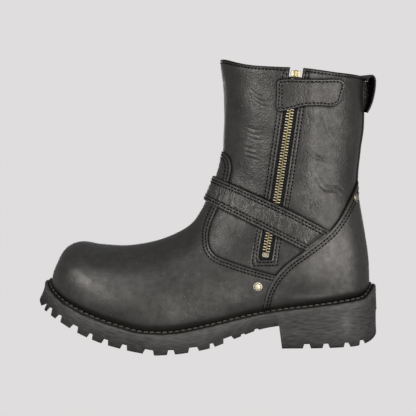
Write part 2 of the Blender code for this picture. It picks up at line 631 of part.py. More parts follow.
def heel_block():
    waist = HEEL_WAIST / 24.0
    rings = [
        heel_ring(0.8, HEEL_BREAST + HEEL_RAKE, heel_floor),
        heel_ring(-0.6, HEEL_BREAST + HEEL_RAKE, lambda x: heel_floor(x) + 1.2),
        heel_ring(HEEL_WAIST_IN, HEEL_BREAST + HEEL_RAKE * (1 - waist), lambda x: heel_floor(x) * 0.2 + HEEL_WAIST),
        heel_ring(0.2, HEEL_BREAST, lambda x: tread(x) - GAP),
    ]
    size = len(rings[0])
    faces = []
    for k in range(len(rings) - 1):
        a, b = k * size, (k + 1) * size
        faces += [(a + i, a + (i + 1) % size, b + (i + 1) % size, b + i) for i in range(size)]
    for base in (0, (len(rings) - 1) * size):
        faces += [(base + i, base + i + 1, base + size - 2 - i, base + size - 1 - i) for i in range(size // 2 - 1)]
        if size % 2:
            faces.append((base + size // 2 - 1, base + size // 2, base + size // 2 + 1))
    return new_object("heel", np.vstack(rings), faces, RUBBER)


heel = heel_block()
for k, (x, width) in enumerate(HEEL_GAPS):
    for side in (-1, 1):
        boolean(heel, "DIFFERENCE", channel(f"heel lug {k} {side}", x, side, width, heel_floor, LUG_DEPTH))

bpy.context.view_layer.update()
for obj in parts.objects:
    print(obj.name, [round(v / MM, 1) for v in obj.dimensions])
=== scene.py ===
# %% [markdown]
# # A motorcycle boot for the right foot
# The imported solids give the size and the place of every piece. This lesson rebuilds each piece finely in
# the same frame and gives it its real finish: oiled leather, moulded rubber, brass and waxed thread.
# Tables are in millimetres. X runs from toe to heel, -Y is the inner side with the zip, and Z is up.

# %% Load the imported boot
import math
import bmesh
import bpy
import numpy as np
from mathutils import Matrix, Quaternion, Vector
from mathutils.bvhtree import BVHTree


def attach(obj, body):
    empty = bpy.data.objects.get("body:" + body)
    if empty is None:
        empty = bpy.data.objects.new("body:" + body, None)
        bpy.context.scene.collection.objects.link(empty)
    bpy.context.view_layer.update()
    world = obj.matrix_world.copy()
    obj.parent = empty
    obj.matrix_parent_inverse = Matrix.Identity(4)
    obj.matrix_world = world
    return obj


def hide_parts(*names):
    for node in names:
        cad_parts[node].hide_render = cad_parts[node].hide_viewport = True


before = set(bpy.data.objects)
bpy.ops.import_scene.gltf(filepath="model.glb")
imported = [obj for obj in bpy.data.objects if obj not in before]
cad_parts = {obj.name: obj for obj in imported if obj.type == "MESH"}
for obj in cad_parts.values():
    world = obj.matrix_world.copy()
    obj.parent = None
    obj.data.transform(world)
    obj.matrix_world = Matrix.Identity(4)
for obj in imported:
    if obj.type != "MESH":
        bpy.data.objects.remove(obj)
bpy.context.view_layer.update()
MM = 0.001

# %% [markdown]
# ## Camera
# A product photographer stands well back with a long lens, so that the boot isn't distorted. The camera
# looks at the inner side, a little from above, and is rolled by about a degree, as it was when the
# picture was taken.

# %% Camera
CAMERA_AT, CAMERA_TO = Vector((18.9, -949.9, 215.0)), Vector((2.3, 0.0, 124.9))
LENS_MM, ROLL_DEG = 89.2, -1.35


def shown(name, data):
    """Object that shows some data, linked to the scene."""
    made = bpy.data.objects.new(name, data)
    bpy.context.scene.collection.objects.link(made)
    return made


camera = shown("camera", bpy.data.cameras.new("camera"))
camera.data.lens = LENS_MM
camera.location = CAMERA_AT * MM
camera.rotation_mode = "QUATERNION"
camera.rotation_quaternion = ((CAMERA_TO - CAMERA_AT).to_track_quat("-Z", "Y")
                              @ Quaternion((0, 0, 1), math.radians(ROLL_DEG)))
bpy.context.scene.camera = camera
bpy.context.scene.view_settings.view_transform = "Standard"
print("camera distance in mm:", round((CAMERA_TO - CAMERA_AT).length))

# %% [markdown]
# ## Helpers for finishes
# A finish is a small node tree. One function turns the sRGB hex colours that a colour picker shows into
# the linear colours that Blender computes with, and one adds a node with its settings and links. The
# short ones are the steps that every finish repeats: noise of a real size, a new range, a product, a
# blend of two colours and a bump.

# %% Helpers for finishes
def linear(code):
    """Linear colour of an sRGB hex code, by the standard's own curve."""
    parts = [int(code[i:i + 2], 16) / 255 for i in (1, 3, 5)]
    return tuple(c / 12.92 if c <= 0.04045 else ((c + 0.055) / 1.055) ** 2.4 for c in parts) + (1.0,)


def add(tree, kind, inputs=None, **settings):
    """Adds a shader node. Settings are its own properties, and inputs are values or sockets to link."""
    node = tree.nodes.new("ShaderNode" + kind)
    for name, value in settings.items():
        setattr(node, name, value)
    for name, value in (inputs or {}).items():
        if isinstance(value, bpy.types.NodeSocket):
            tree.links.new(value, node.inputs[name])
        else:
            node.inputs[name].default_value = value
    return node


def noise(tree, place, size_mm, detail, kind="FBM", **inputs):
    """Noise whose clumps are about so many millimetres across."""
    inputs = {"Vector": place, "Scale": 1 / (size_mm * MM), "Detail": detail, **inputs}
    return add(tree, "TexNoise", inputs, noise_type=kind).outputs[0]


def ranged(tree, value, start, end, low=0.0, high=1.0):
    """Moves a value from one range to another, and keeps it inside."""
    inputs = {"Value": value, "From Min": start, "From Max": end, "To Min": low, "To Max": high}
    return add(tree, "MapRange", inputs).outputs[0]


def product(tree, first, second):
    return add(tree, "Math", {0: first, 1: second}, operation="MULTIPLY").outputs[0]


def blend(tree, share, dark, light):
    """Colour between two hex colours."""
    return add(tree, "Mix", {0: share, 6: linear(dark), 7: linear(light)}, data_type="RGBA").outputs[2]


def toned(tree, colour, share):
    """Colour made darker or lighter by a share."""
    return add(tree, "VectorMath", {0: colour, "Scale": share}, operation="SCALE").outputs[0]


def bump(tree, strength, deep_mm, height, **inputs):
    inputs = {"Strength": strength, "Distance": deep_mm * MM, "Height": height, **inputs}
    return add(tree, "Bump", inputs).outputs[0]


def attribute(tree, name):
    """Value that the points of a mesh carry."""
    return add(tree, "Attribute", attribute_name=name).outputs["Fac"]


def finish(name, inputs):
    """Material whose constant sockets are set directly, with its tree and the place on the object."""
    made = bpy.data.materials.new(name)
    made.use_nodes = True
    for socket, value in inputs.items():
        made.node_tree.nodes["Principled BSDF"].inputs[socket].default_value = value
    return made, made.node_tree, add(made.node_tree, "TexCoord").outputs["Object"]


def wire(tree, sources):
    """Links the values that vary to the shader."""
    for socket, source in sources.items():
        tree.links.new(source, tree.nodes["Principled BSDF"].inputs[socket])


# %% [markdown]
# ## Studio
# A light tent of white paper surrounds the boot: floor and walls in one sweep, so there is no horizon.
# The paper is lit so evenly that it simply glows. Only the camera sees it, so that the soft boxes alone
# shape the leather. The boxes on the right reach below the floor, as light does that bounces off a white
# table.

# %% Studio
SKY_LOW, SKY_HIGH, SKY_FROM = 0.30, 0.24, -0.5  # brightness below and above, and where the change starts
TENT = [  # radius and height in metres
    (0.0, -0.0004), (1.7, -0.0004), (2.3, 0.12), (2.7, 0.6), (2.8, 1.4), (2.3, 2.4), (1.2, 2.9),
    (0.0, 3.0)]
TENT_SIDES = 64


def ring_faces(count, size, closed=False):
    """Faces between rings of points, each ring joined to the next, and the last to the first if closed."""
    after = [*range(1, count), 0] if closed else range(1, count)
    return [(a * size + i, a * size + (i + 1) % size, b * size + (i + 1) % size, b * size + i)
            for a, b in zip(range(count), after) for i in range(size)]


paper = bpy.data.materials.new("white_paper_sweep")
paper.use_nodes = True
tree = paper.node_tree
tree.nodes.clear()
glow = add(tree, "Emission", {"Color": linear("#dfdddd")})
add(tree, "OutputMaterial", {"Surface": glow.outputs[0]})

turns = np.linspace(0, 2 * math.pi, TENT_SIDES, endpoint=False)
tent_points = [(r * math.cos(t), r * math.sin(t), z) for r, z in TENT for t in turns]
tent = shown("paper_tent", bpy.data.meshes.new("paper_tent"))
tent.data.from_pydata(tent_points, [], ring_faces(len(TENT), TENT_SIDES))
tent.data.materials.append(paper)
tent.data.shade_smooth()
tent.visible_glossy = tent.visible_diffuse = tent.visible_shadow = False

world = bpy.context.scene.world or bpy.data.worlds.new("studio")
bpy.context.scene.world = world
world.use_nodes = True
tree = world.node_tree
split = add(tree, "SeparateXYZ", {0: add(tree, "TexCoord").outputs["Generated"]})
sky = ranged(tree, split.outputs["Z"], SKY_FROM, 1.0, SKY_LOW, SKY_HIGH)
tree.nodes["Background"].inputs["Color"].default_value = linear("#fafcff")
tree.links.new(sky, tree.nodes["Background"].inputs["Strength"])

SOFT_BOXES = {  # degrees from the camera's side, degrees up, width and height in metres, watts, colour
    "left_box": (-43.0, 17.0, 0.6, 0.8, 15.5, "#fffaf4"),
    "right_box": (24.0, -4.0, 0.4, 1.0, 12.0, "#fffaf4"),
    "far_right_box": (54.0, -2.0, 0.5, 1.0, 10.5, "#fffaf4"),
    "front_box": (-15.0, 45.0, 0.8, 0.8, 4.0, "#ffffff"),
    "outer_box": (180.0, -12.0, 1.4, 0.8, 16.0, "#ffffff"),
}
BOX_AIM, BOX_AWAY = Vector((0.0, 0.0, 0.10)), 1.5
for name, (aside, up, wide, high, watts, colour) in SOFT_BOXES.items():
    light = bpy.data.lights.new(name, "AREA")
    light.shape, light.size, light.size_y, light.energy = "RECTANGLE", wide, high, watts
    light.color = linear(colour)[:3]
    lamp = shown(name, light)
    aside, up = math.radians(aside), math.radians(up)
    away = Vector((math.sin(aside) * math.cos(up), -math.cos(aside) * math.cos(up), math.sin(up)))
    lamp.location = BOX_AIM + BOX_AWAY * away
    lamp.rotation_euler = (-away).to_track_quat("-Z", "Y").to_euler()
print("soft boxes:", len(SOFT_BOXES))

# %% [markdown]
# ## Leathers
# The boot is full-grain cowhide, dyed black, oiled and lightly buffed. Cell noise gives a bump for its
# pores, a slower noise gives cloudy oil, and sparse specks are dust. Where the shaft folds freely there
# are long broken wrinkles, and towards the foot the hide is pulled tight and smooth. The strap is softer
# hide that was shrunk, with wrinkles across it.

# %% Leathers
GRAIN_MM, FOLD_MM, WRINKLE_MM = 1.5, 4.0, 13.0  # the grain is drawn coarser than it is, to show
GRAIN_DEEP, FOLD_DEEP, WRINKLE_DEEP = 0.5, 1.2, 0.6
MOTTLE_MM, SPECK_MM, CLOUD_MM = 6.0, 2.6, 34.0
LOOSE_MM, TIGHT = (85.0, 140.0), 0.4  # tight below the first height, free above the second
MIDDLE = (0.3, 0.7)  # most of a noise lies in this range
SPECKS, SPECK_COVER, SPECK_COLOUR = (0.74, 0.82), 0.5, "#75726e"
OIL_SHINE, GLOSS_SPREAD, VEIN_PATCH = (0.36, 0.64), (-0.05, 0.06), (0.42, 0.62)


def leather(name, dark, light, roughness, grain, folds, wrinkles, turn=0.0, stretch=(1.0, 1.0, 1.0)):
    """Dyed hide. Its point attribute "tone" scales colour and shine: painted shade, painted highlights and a
    few scuffs.
    """
    made, tree, place = finish(name, {"IOR": 1.48})
    shade = ranged(tree, attribute(tree, "tone"), -1.0, 1.0, 0.0, 2.0)
    cloud = noise(tree, place, CLOUD_MM, 5.0)
    dyed = toned(tree, blend(tree, cloud, dark, light), shade)
    dust = ranged(tree, noise(tree, place, SPECK_MM, 1.0), *SPECKS, 0.0, SPECK_COVER)
    dusted = add(tree, "Mix", {0: dust, 6: dyed, 7: linear(SPECK_COLOUR)}, data_type="RGBA").outputs[2]
    shine = ranged(tree, noise(tree, place, MOTTLE_MM, 4.0), *MIDDLE, *OIL_SHINE)
    gloss = ranged(tree, cloud, *MIDDLE, *(roughness + spread for spread in GLOSS_SPREAD))
    height = add(tree, "SeparateXYZ", {0: place}).outputs["Z"]
    loose = ranged(tree, height, LOOSE_MM[0] * MM, LOOSE_MM[1] * MM, TIGHT)
    turned = (0.0, math.radians(turn), 0.0)
    laid = add(tree, "Mapping", {"Vector": place, "Rotation": turned, "Scale": stretch},
               vector_type="TEXTURE").outputs[0]
    cells = add(tree, "TexVoronoi", {"Vector": place, "Scale": 1 / (GRAIN_MM * MM)}, feature="SMOOTH_F1")
    waves = noise(tree, laid, FOLD_MM, 3.0, Distortion=1.2)
    veins = noise(tree, laid, WRINKLE_MM, 3.0, "RIDGED_MULTIFRACTAL", Distortion=0.8)
    broken = product(tree, veins, ranged(tree, cloud, *VEIN_PATCH))
    grained = bump(tree, grain, GRAIN_DEEP, product(tree, cells.outputs["Distance"], loose))
    folded = bump(tree, folds, FOLD_DEEP, product(tree, waves, loose), Normal=grained)
    wrinkled = bump(tree, wrinkles, WRINKLE_DEEP, product(tree, broken, loose), Normal=folded)
    wire(tree, {"Base Color": dusted, "Specular IOR Level": product(tree, shine, shade), "Roughness": gloss,
                "Normal": wrinkled})
    return made


# Oil gives broad soft lights, shrinking breaks them up along the wrinkles, and a lining is dull
OILED_HIDE = leather("oiled_black_hide", "#1d1c1b", "#2b2a28", 0.41, 0.42, 0.12, 0.40)
SHRUNK_HIDE = leather("shrunk_black_hide", "#201f1e", "#2e2d2b", 0.37, 0.36, 1.0, 0.35, 14.0, (0.7, 0.7, 3.0))
LINING_HIDE = leather("lining_hide", "#24211e", "#322e2a", 0.70, 0.15, 0.05, 0.0)
print("leathers:", OILED_HIDE.name, SHRUNK_HIDE.name, LINING_HIDE.name)

# %% [markdown]
# ## Rubber, brass, cloth and thread
# The sole is moulded rubber: matte, with short streaks from its mould. The zip and rivets are brass, some
# of it nickelled, and both have dulled unevenly. The zip's tape is woven polyester, and the thread is
# waxed.

# %% Rubber, brass, cloth and thread
MOULD_LINE_MM, MOULD_STRETCH, DUST_MM, BRASS_MM, WEAVE_MM = 1.5, 0.2, 22.0, 1.8, 0.9
MOULD_BUMP, MOULD_DEEP, RUBBER_SHINE, RUBBER_ROUGH = 0.3, 0.5, 0.8, (0.5, 0.75)
WEAVE_BUMP, WEAVE_DEEP, WAVE_TURN = 0.4, 0.3, 6.3

# Rubber: dull grey streaks along the wall, lighter and shinier where "tone" paints a highlight, darker where
# it is low
RUBBER, tree, place = finish("moulded_black_rubber", {"IOR": 1.52})
dust = noise(tree, place, DUST_MM, 6.0, Roughness=0.65)
long = add(tree, "Mapping", {"Vector": place, "Scale": (MOULD_STRETCH, MOULD_STRETCH, 0.0)}).outputs[0]
level = add(tree, "CombineXYZ", {"Z": attribute(tree, "level")}).outputs[0]
flat = add(tree, "VectorMath", {0: long, 1: level}, operation="ADD").outputs[0]
lines = noise(tree, flat, MOULD_LINE_MM, 2.0)
streaks = blend(tree, ranged(tree, lines, *MIDDLE), "#141414", "#353535")
tone = attribute(tree, "tone")
wire(tree, {"Base Color": toned(tree, streaks, ranged(tree, tone, -1.0, 1.0, 0.0, 2.0)),
            "Specular IOR Level": ranged(tree, tone, -1.0, 1.0, 0.0, RUBBER_SHINE),
            "Roughness": ranged(tree, dust, 0.0, 1.0, *RUBBER_ROUGH),
            "Normal": bump(tree, MOULD_BUMP, MOULD_DEEP, lines)})


def metal(name, dark, light, dull, bright):
    """Stained metal, darker where it is rough. The point attribute "tone" darkens grooves."""
    made, tree, place = finish(name, {"Metallic": 1.0})
    stain = noise(tree, place, BRASS_MM, 4.0)
    aged = toned(tree, blend(tree, stain, dark, light), ranged(tree, attribute(tree, "tone"), -1.0, 0.0))
    wire(tree, {"Base Color": aged, "Roughness": ranged(tree, stain, 0.0, 1.0, dull, bright)})
    return made


BRASS = metal("antique_brass", "#8d8054", "#c6b985", 0.50, 0.34)  # warm glints
NICKEL = metal("nickelled_brass", "#a79f8c", "#e3dccb", 0.62, 0.45)  # pale and blurred

# Tape: flat black with a fine slanting rib
TAPE_CLOTH, tree, place = finish("woven_zip_tape", {"Roughness": 0.85, "IOR": 1.5,
                                                    "Specular IOR Level": 0.15})
weave = add(tree, "TexWave", {"Vector": place, "Scale": 1 / (WEAVE_MM * MM) / WAVE_TURN, "Distortion": 0.5},
            bands_direction="DIAGONAL").outputs[1]
wire(tree, {"Base Color": blend(tree, weave, "#0c0c0c", "#191918"),
            "Normal": bump(tree, WEAVE_BUMP, WEAVE_DEEP, weave)})


def thread(name, dark, light, roughness, shine):
    """Twisted waxed thread. Its fibres scatter light, so it shines less than a smooth body."""
    made, tree, place = finish(name, {"Roughness": roughness, "IOR": 1.5, "Specular IOR Level": shine})
    wire(tree, {"Base Color": blend(tree, noise(tree, place, WEAVE_MM, 1.0), dark, light)})
    return made


BLACK_THREAD = thread("black_waxed_thread", "#060606", "#0c0c0c", 0.8, 0.08)
WELT_THREAD = thread("grey_waxed_thread", "#34322e", "#55524b", 0.55, 0.4)
print("finishes:", len(bpy.data.materials))

# %% [markdown]
# ## Smooth lines through tables
# The boot's shape is a few short tables of sizes. A centripetal spline runs through the rows of a table
# without overshooting, and a cubic gives one column at any place along the sole.

# %% Smooth lines through tables
SHORT_SPAN = 1e-6  # rows at the same place count as this far apart


def smooth(x, table, column):
    """Cubic through one column of a table whose first column is x."""
    xs, ys = table[:, 0], table[:, column]
    slope = np.gradient(ys, xs)
    i = np.clip(np.searchsorted(xs, x) - 1, 0, len(xs) - 2)
    step = xs[i + 1] - xs[i]
    t = np.clip((x - xs[i]) / step, 0, 1)
    return ((1 + 2 * t) * (1 - t) ** 2 * ys[i] + t * (1 - t) ** 2 * step * slope[i]
            + t * t * (3 - 2 * t) * ys[i + 1] + t * t * (t - 1) * step * slope[i + 1])


def through(rows, steps, closed=False):
    """Centripetal spline through rows of numbers, with so many points for each span."""
    rows = np.asarray(rows, float)
    count = len(rows) if closed else len(rows) - 1
    if np.isscalar(steps):
        steps = [steps] * count
    made = []
    for i in range(count):
        if closed:
            p = [rows[(i + k) % len(rows)] for k in (-1, 0, 1, 2)]
        else:
            p = [rows[i - 1] if i else 2 * rows[0] - rows[1], rows[i], rows[i + 1],
                 rows[i + 2] if i + 2 < len(rows) else 2 * rows[-1] - rows[-2]]
        t = np.cumsum([0.0] + [max(np.linalg.norm(p[k + 1] - p[k]), SHORT_SPAN) ** 0.5 for k in range(3)])
        u = np.linspace(t[1], t[2], steps[i], endpoint=False)[:, None]
        a = [((t[k + 1] - u) * p[k] + (u - t[k]) * p[k + 1]) / (t[k + 1] - t[k]) for k in range(3)]
        b = [((t[k + 2] - u) * a[k] + (u - t[k]) * a[k + 1]) / (t[k + 2] - t[k]) for k in range(2)]
        made.append(((t[2] - u) * b[0] + (u - t[1]) * b[1]) / (t[2] - t[1]))
    return np.vstack(made + ([] if closed else [rows[-1:]]))


# %% [markdown]
# ## Pieces
# Every piece is a mesh made from an array of points and rides on the boot. It stands for one of the packed
# solids, but for the stitches, which are added. Edges sharper than a set angle stay crisp, and the rest is
# shaded smooth.

# %% Pieces
CRISP_DEG = 42.0


def outward(mesh):
    """Turns all faces of a closed mesh outwards."""
    bm = bmesh.new()
    bm.from_mesh(mesh)
    bmesh.ops.recalc_face_normals(bm, faces=bm.faces)
    bm.to_mesh(mesh)
    bm.free()


def store(mesh, name, values):
    """Gives each point of a mesh a value that a finish can read."""
    mesh.attributes.new(name, "FLOAT", "POINT").data.foreach_set("value", np.asarray(values, np.float32))


def piece(name, points, faces, finishes, nodes, slot, second=(), crisp=CRISP_DEG, tone=None):
    """Mesh in place of CAD nodes. Faces numbered in second take the second finish."""
    mesh = bpy.data.meshes.new(name)
    mesh.from_pydata((np.asarray(points, float) * MM).tolist(), [], [tuple(map(int, face)) for face in faces])
    for one in finishes:
        mesh.materials.append(one)
    for i in second:
        mesh.polygons[i].material_index = 1
    outward(mesh)
    if tone is not None:
        store(mesh, "tone", tone)
    mesh.shade_smooth()
    mesh.set_sharp_from_angle(angle=math.radians(crisp))
    obj = shown(name, mesh)
    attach(obj, "root")
    if nodes:
        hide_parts(*nodes)
    print(name, len(mesh.vertices), "points")
    return obj


# %% [markdown]
# ## The sole's outline and heights
# A sole is cut to a plan that follows the foot, and its rim, seat and tread rise towards the toe and
# heel. Both are the part's own tables, sampled more finely.

# %% The sole's outline and heights
PLAN = np.array([  # x, half width on the inner side, half width on the outer side
    (-151.0, 0.0, 0.0), (-148.2, 16.5, 15.5), (-142.0, 28.3, 27.5), (-132.0, 38.8, 38.0),
    (-118.0, 47.2, 46.8), (-100.0, 53.0, 52.8), (-78.0, 56.3, 56.3), (-56.0, 56.7, 57.2),
    (-36.0, 54.2, 57.0), (-16.0, 49.2, 55.2), (4.0, 44.0, 52.2), (24.0, 40.0, 48.2), (48.0, 38.2, 44.0),
    (72.0, 39.2, 41.6), (97.0, 40.4, 40.2), (118.0, 39.2, 38.8), (134.0, 34.6, 34.2), (146.0, 25.8, 25.6),
    (153.3, 14.0, 14.0), (156.4, 0.0, 0.0)])
SOLE = np.array([  # x, top of the rim, seat of the upper, bottom of the lugs, flare of the wall's foot
    (-151.0, 60.4, 54.8, 43.4, 5.9), (-148.0, 57.2, 52.8, 39.4, 5.0), (-142.0, 52.3, 48.6, 35.6, 4.0),
    (-132.0, 46.1, 42.0, 29.9, 2.8), (-118.0, 39.6, 35.2, 22.0, 1.8), (-100.0, 32.4, 27.8, 14.0, 1.0),
    (-78.0, 25.2, 20.6, 7.2, 0.6), (-58.0, 19.8, 15.3, 2.4, 0.4), (-45.0, 18.5, 14.0, 0.0, 0.4),
    (-26.0, 18.4, 13.9, 0.0, 0.4), (-16.0, 19.3, 14.8, 0.7, 0.4), (4.0, 22.3, 17.8, 3.4, 0.2),
    (24.0, 26.2, 21.7, 10.0, 0.0), (48.0, 30.9, 26.4, 18.0, 0.0), (64.0, 33.4, 28.8, 20.8, 0.0),
    (97.0, 37.1, 32.4, 24.0, 0.0), (118.0, 39.5, 34.6, 26.0, 0.0), (134.0, 41.0, 36.2, 27.0, 0.0),
    (146.0, 42.8, 37.8, 27.8, 0.0), (153.3, 48.0, 40.8, 28.2, 0.3), (156.4, 50.6, 42.6, 28.4, 0.5)])
PLAN_STEPS, FINE_STEPS, NEAR_ZERO = 10, 12, 1e-9
RIM_THICK, SEAT_CLEAR = 3.0, 0.4


def unit(rows):
    """Rows of numbers, each scaled to length 1."""
    return rows / np.maximum(np.linalg.norm(rows, axis=1), NEAR_ZERO)[:, None]


def outline(inset, steps=PLAN_STEPS):
    """Points round the sole from the toe along the inner side, moved in square to the wall."""
    corners = [(x, -inner) for x, inner, _ in PLAN] + [(x, outer) for x, _, outer in PLAN[-2:0:-1]]
    wall = through(corners, steps, closed=True)
    along = np.roll(wall, -1, axis=0) - np.roll(wall, 1, axis=0)
    return wall + unit(np.column_stack([-along[:, 1], along[:, 0]])) * np.reshape(inset, (-1, 1))


def two_sides(inset):
    """Inner and outer half of an inset outline, both from toe to heel."""
    wall = outline(inset, FINE_STEPS)
    middle = len(wall) // 2
    return wall[:middle + 1], np.vstack([wall[:1], wall[:middle - 1:-1]])


def half_width(x, inset):
    """Half widths of the inner and outer side at x, inside an inset outline."""
    inner, outer = two_sides(inset)
    return -np.interp(x, inner[:, 0], inner[:, 1]), np.interp(x, outer[:, 0], outer[:, 1])


def rim(x):
    return smooth(x, SOLE, 1)


def seat(x):
    return smooth(x, SOLE, 2)


def tread(x):
    return np.maximum(smooth(x, SOLE, 3), 0.0)


def ring(inset, height):
    return np.column_stack([outline(inset), height])


WALL_X = outline(0.0)[:, 0]
print("points round the sole:", len(WALL_X))

# %% [markdown]
# ## Outsole
# The outsole is one moulding: a wall with fine mould lines that flares at the toe, a rim that stands up
# round the welt, and lugs below. Rings of points are stacked from the tread to the rim, and the channels
# between the lugs are cut with one Boolean, as a mould maker would mill them. A channel is wider below,
# so that the mould lets go.

# %% Outsole
WALL_RINGS, MOULD_LINE_DEPTH, FIRST_RING, FLARE_POWER, FOOT_TUCK, RIM_BELOW = 23, 0.10, 0.04, 1.5, 0.5, 1.4
RIM_SIDE = [  # inset, height over the rim
    (0.25, -0.6), (0.9, 0.0), (RIM_THICK - 0.7, 0.0), (RIM_THICK - 0.1, -0.5), (RIM_THICK, -1.2)]
LUG_GAPS = [  # x, width
    (-148.4, 2.6), (-143.4, 3.0), (-134.8, 3.4), (-120.4, 6.0), (-105.0, 3.2), (-92.0, 4.4), (-75.2, 4.6),
    (-54.0, 8.4), (-33.0, 5.4), (-13.2, 8.0), (2.8, 3.0), (17.4, 8.4), (31.5, 3.0), (43.0, 3.0)]
LUG_DEPTH, LUG_REACH, LUG_FAN, SHANK_X, SHANK_DEPTH = 4.8, 18.0, -149.0, 25.0, 1.6
LUG_BELOW, LUG_BESIDE, LUG_DRAFT, LUG_TOP, LUG_FOOT = 7.0, 9.0, 0.9, 0.4, 0.5
HEEL_BREAST, HEEL_RAKE, HEEL_SKEW = 64.2, 2.3, 4.5
BOX_FACES = [(0, 1, 3, 2), (4, 6, 7, 5), (0, 4, 5, 1), (2, 3, 7, 6), (0, 2, 6, 4), (1, 5, 7, 3)]
# Painted highlight along the top of the rim; the wall grows darker towards the lugs
RIM_LIGHT, RIM_FADE, LUG_DARK, LUG_FADE = 0.35, 5.0, 0.48, (1.0, 13.0)
HEEL_PAINTED_HIGHLIGHT = (124.5, 22.0, 4.0, 8.0, 0.55)  # painted highlight where the heel's wall turns: side-view place, half sizes, tone


def stacked(rings, tip=True):
    """Closed rings, lowest first. Strips close both ends, from a tip or from a straight front to the back."""
    size = len(rings[0])
    faces = ring_faces(len(rings), size)
    for base in (0, (len(rings) - 1) * size):
        for i in range((size - 1 + tip) // 2):
            far = size - 1 + tip - i
            faces.append(tuple(base + k for k in dict.fromkeys((i, i + 1, far - 1, far % size))))
    return np.vstack(rings), faces


def channel(x, side, width, floor, depth):
    """Corners of a box across the sole's edge that parts two lugs."""
    half = two_sides(0.0)[side > 0]
    i = int(np.clip(np.searchsorted(half[:, 0], x), 1, len(half) - 2))
    along = Vector((*(half[i + 1] - half[i - 1]), 0)).normalized()
    rise = (floor(x + 1.0) - floor(x - 1.0)) / 2.0
    inward = Vector((along.y, -along.x, 0)) * side
    if x > LUG_FAN:
        inward, along = Vector((0, -side, 0)), Vector((1, 0, 0))
    lean = Vector((along.x, along.y, rise * along.x)).normalized()
    up = inward.cross(lean) if inward.cross(lean).z > 0 else lean.cross(inward)
    start = Vector((*half[i], floor(half[i][0])))
    top, foot = LUG_TOP * width, LUG_FOOT * width + LUG_DRAFT
    halves = {-LUG_BELOW: foot + (foot - top) * LUG_BELOW / depth, depth: top}
    return [start + lean * (u * half_gap) + inward * v + up * w
            for u in (-1, 1) for v in (-LUG_BESIDE, LUG_REACH) for w, half_gap in halves.items()]


def applied(obj):
    """Makes the mesh that an object's modifiers give its own mesh."""
    bpy.context.view_layer.update()
    obj.data = bpy.data.meshes.new_from_object(obj.evaluated_get(bpy.context.evaluated_depsgraph_get()))
    obj.modifiers.clear()
    obj.data.set_sharp_from_angle(angle=math.radians(CRISP_DEG))


def cut_channels(obj, gaps, floor, depth_at):
    """Cuts all channels of both sides out of a rubber piece."""
    boxes = [channel(x, side, width, floor, depth_at(x)) for x, width in gaps for side in (-1, 1)]
    mesh = bpy.data.meshes.new("channels")
    mesh.from_pydata([p * MM for box in boxes for p in box], [],
                     [tuple(8 * k + i for i in face) for k in range(len(boxes)) for face in BOX_FACES])
    outward(mesh)
    cutter = shown("channels", mesh)
    cut = obj.modifiers.new("channels", "BOOLEAN")
    cut.operation, cut.solver, cut.object, cut.use_self = "DIFFERENCE", "EXACT", cutter, True
    applied(obj)
    bpy.data.objects.remove(cutter)


def bell(distance, half):
    """1 at no distance, falling softly to nothing."""
    return np.exp(-(distance / half) ** 2)


def patch_tone(x, z, patch):
    """Tone of one soft patch, which has a side-view place, half width, half height and strongest tone."""
    at_x, at_z, wide, high, tone = patch
    return tone * bell(x - at_x, wide) * bell(z - at_z, high)


def store_sole_tone(obj):
    """Stores the height above the tread, and a tone: painted highlights on the rim and where the heel turns,
    and darker lugs.
    """
    flat = np.empty(3 * len(obj.data.vertices))
    obj.data.vertices.foreach_get("co", flat)
    x, _, z = flat.reshape(-1, 3).T / MM
    height = z - np.where(x > HEEL_BREAST, 0.0, tread(x))
    share = np.clip((height - LUG_FADE[0]) / (LUG_FADE[1] - LUG_FADE[0]), 0, 1)
    rim_light_and_lug_dark = RIM_LIGHT * bell(rim(x) - z, RIM_FADE) - LUG_DARK * (1 - share)
    store(obj.data, "tone", rim_light_and_lug_dark + patch_tone(x, z, HEEL_PAINTED_HIGHLIGHT))
    store(obj.data, "level", height * MM)


flare = smooth(WALL_X, SOLE, 4)
wall_rings = [ring(-flare + FOOT_TUCK * (WALL_X < HEEL_BREAST), tread(WALL_X))]
for k, share in enumerate(np.linspace(FIRST_RING, 1.0, WALL_RINGS)):
    height = (1 - share) * tread(WALL_X) + share * (rim(WALL_X) - RIM_BELOW)
    wall_rings.append(ring(-flare * (1 - share) ** FLARE_POWER + MOULD_LINE_DEPTH * (k % 2), height))
wall_rings += [ring(inset, rim(WALL_X) + up) for inset, up in RIM_SIDE]
wall_rings.append(ring(RIM_THICK, seat(outline(RIM_THICK)[:, 0])))
outsole = piece("outsole_body", *stacked(wall_rings), [RUBBER], ["outsole"], "rubber")
cut_channels(outsole, LUG_GAPS, tread, lambda x: LUG_DEPTH if x < SHANK_X else SHANK_DEPTH)
store_sole_tone(outsole)
print("outsole faces:", len(outsole.data.polygons))

# %% [markdown]
# ## Heel
# The heel block is a second moulding under the outsole. Its back is a little hollow, its lower back edge
# lifts, and its front face leans. The sections are stacked as before, on the part of the outline behind
# the breast.

# %% Heel
HEEL_GAPS = [(87.2, 5.6), (106.0, 4.8), (125.0, 4.4), (139.0, 4.0)]
HEEL_BEVEL = np.array([  # x and height where the back edge lifts
    (134.0, 0.0), (142.0, 0.8), (150.0, 2.5), (158.0, 5.4)])
HEEL_SIDE = [  # share of the height, inset
    (0.0, 0.9), (0.03, 0.2), (0.07, 0.0), (0.35, 0.2), (0.7, 0.3), (0.9, 0.15), (1.0, 0.0)]
HEEL_STEPS, HEEL_GAP = 3, 0.05
HEEL_FRONT = HEEL_BREAST + HEEL_RAKE + HEEL_SKEW + 2.0  # the outline is used behind this


def heel_floor(x):
    return np.interp(x, HEEL_BEVEL[:, 0], HEEL_BEVEL[:, 1])


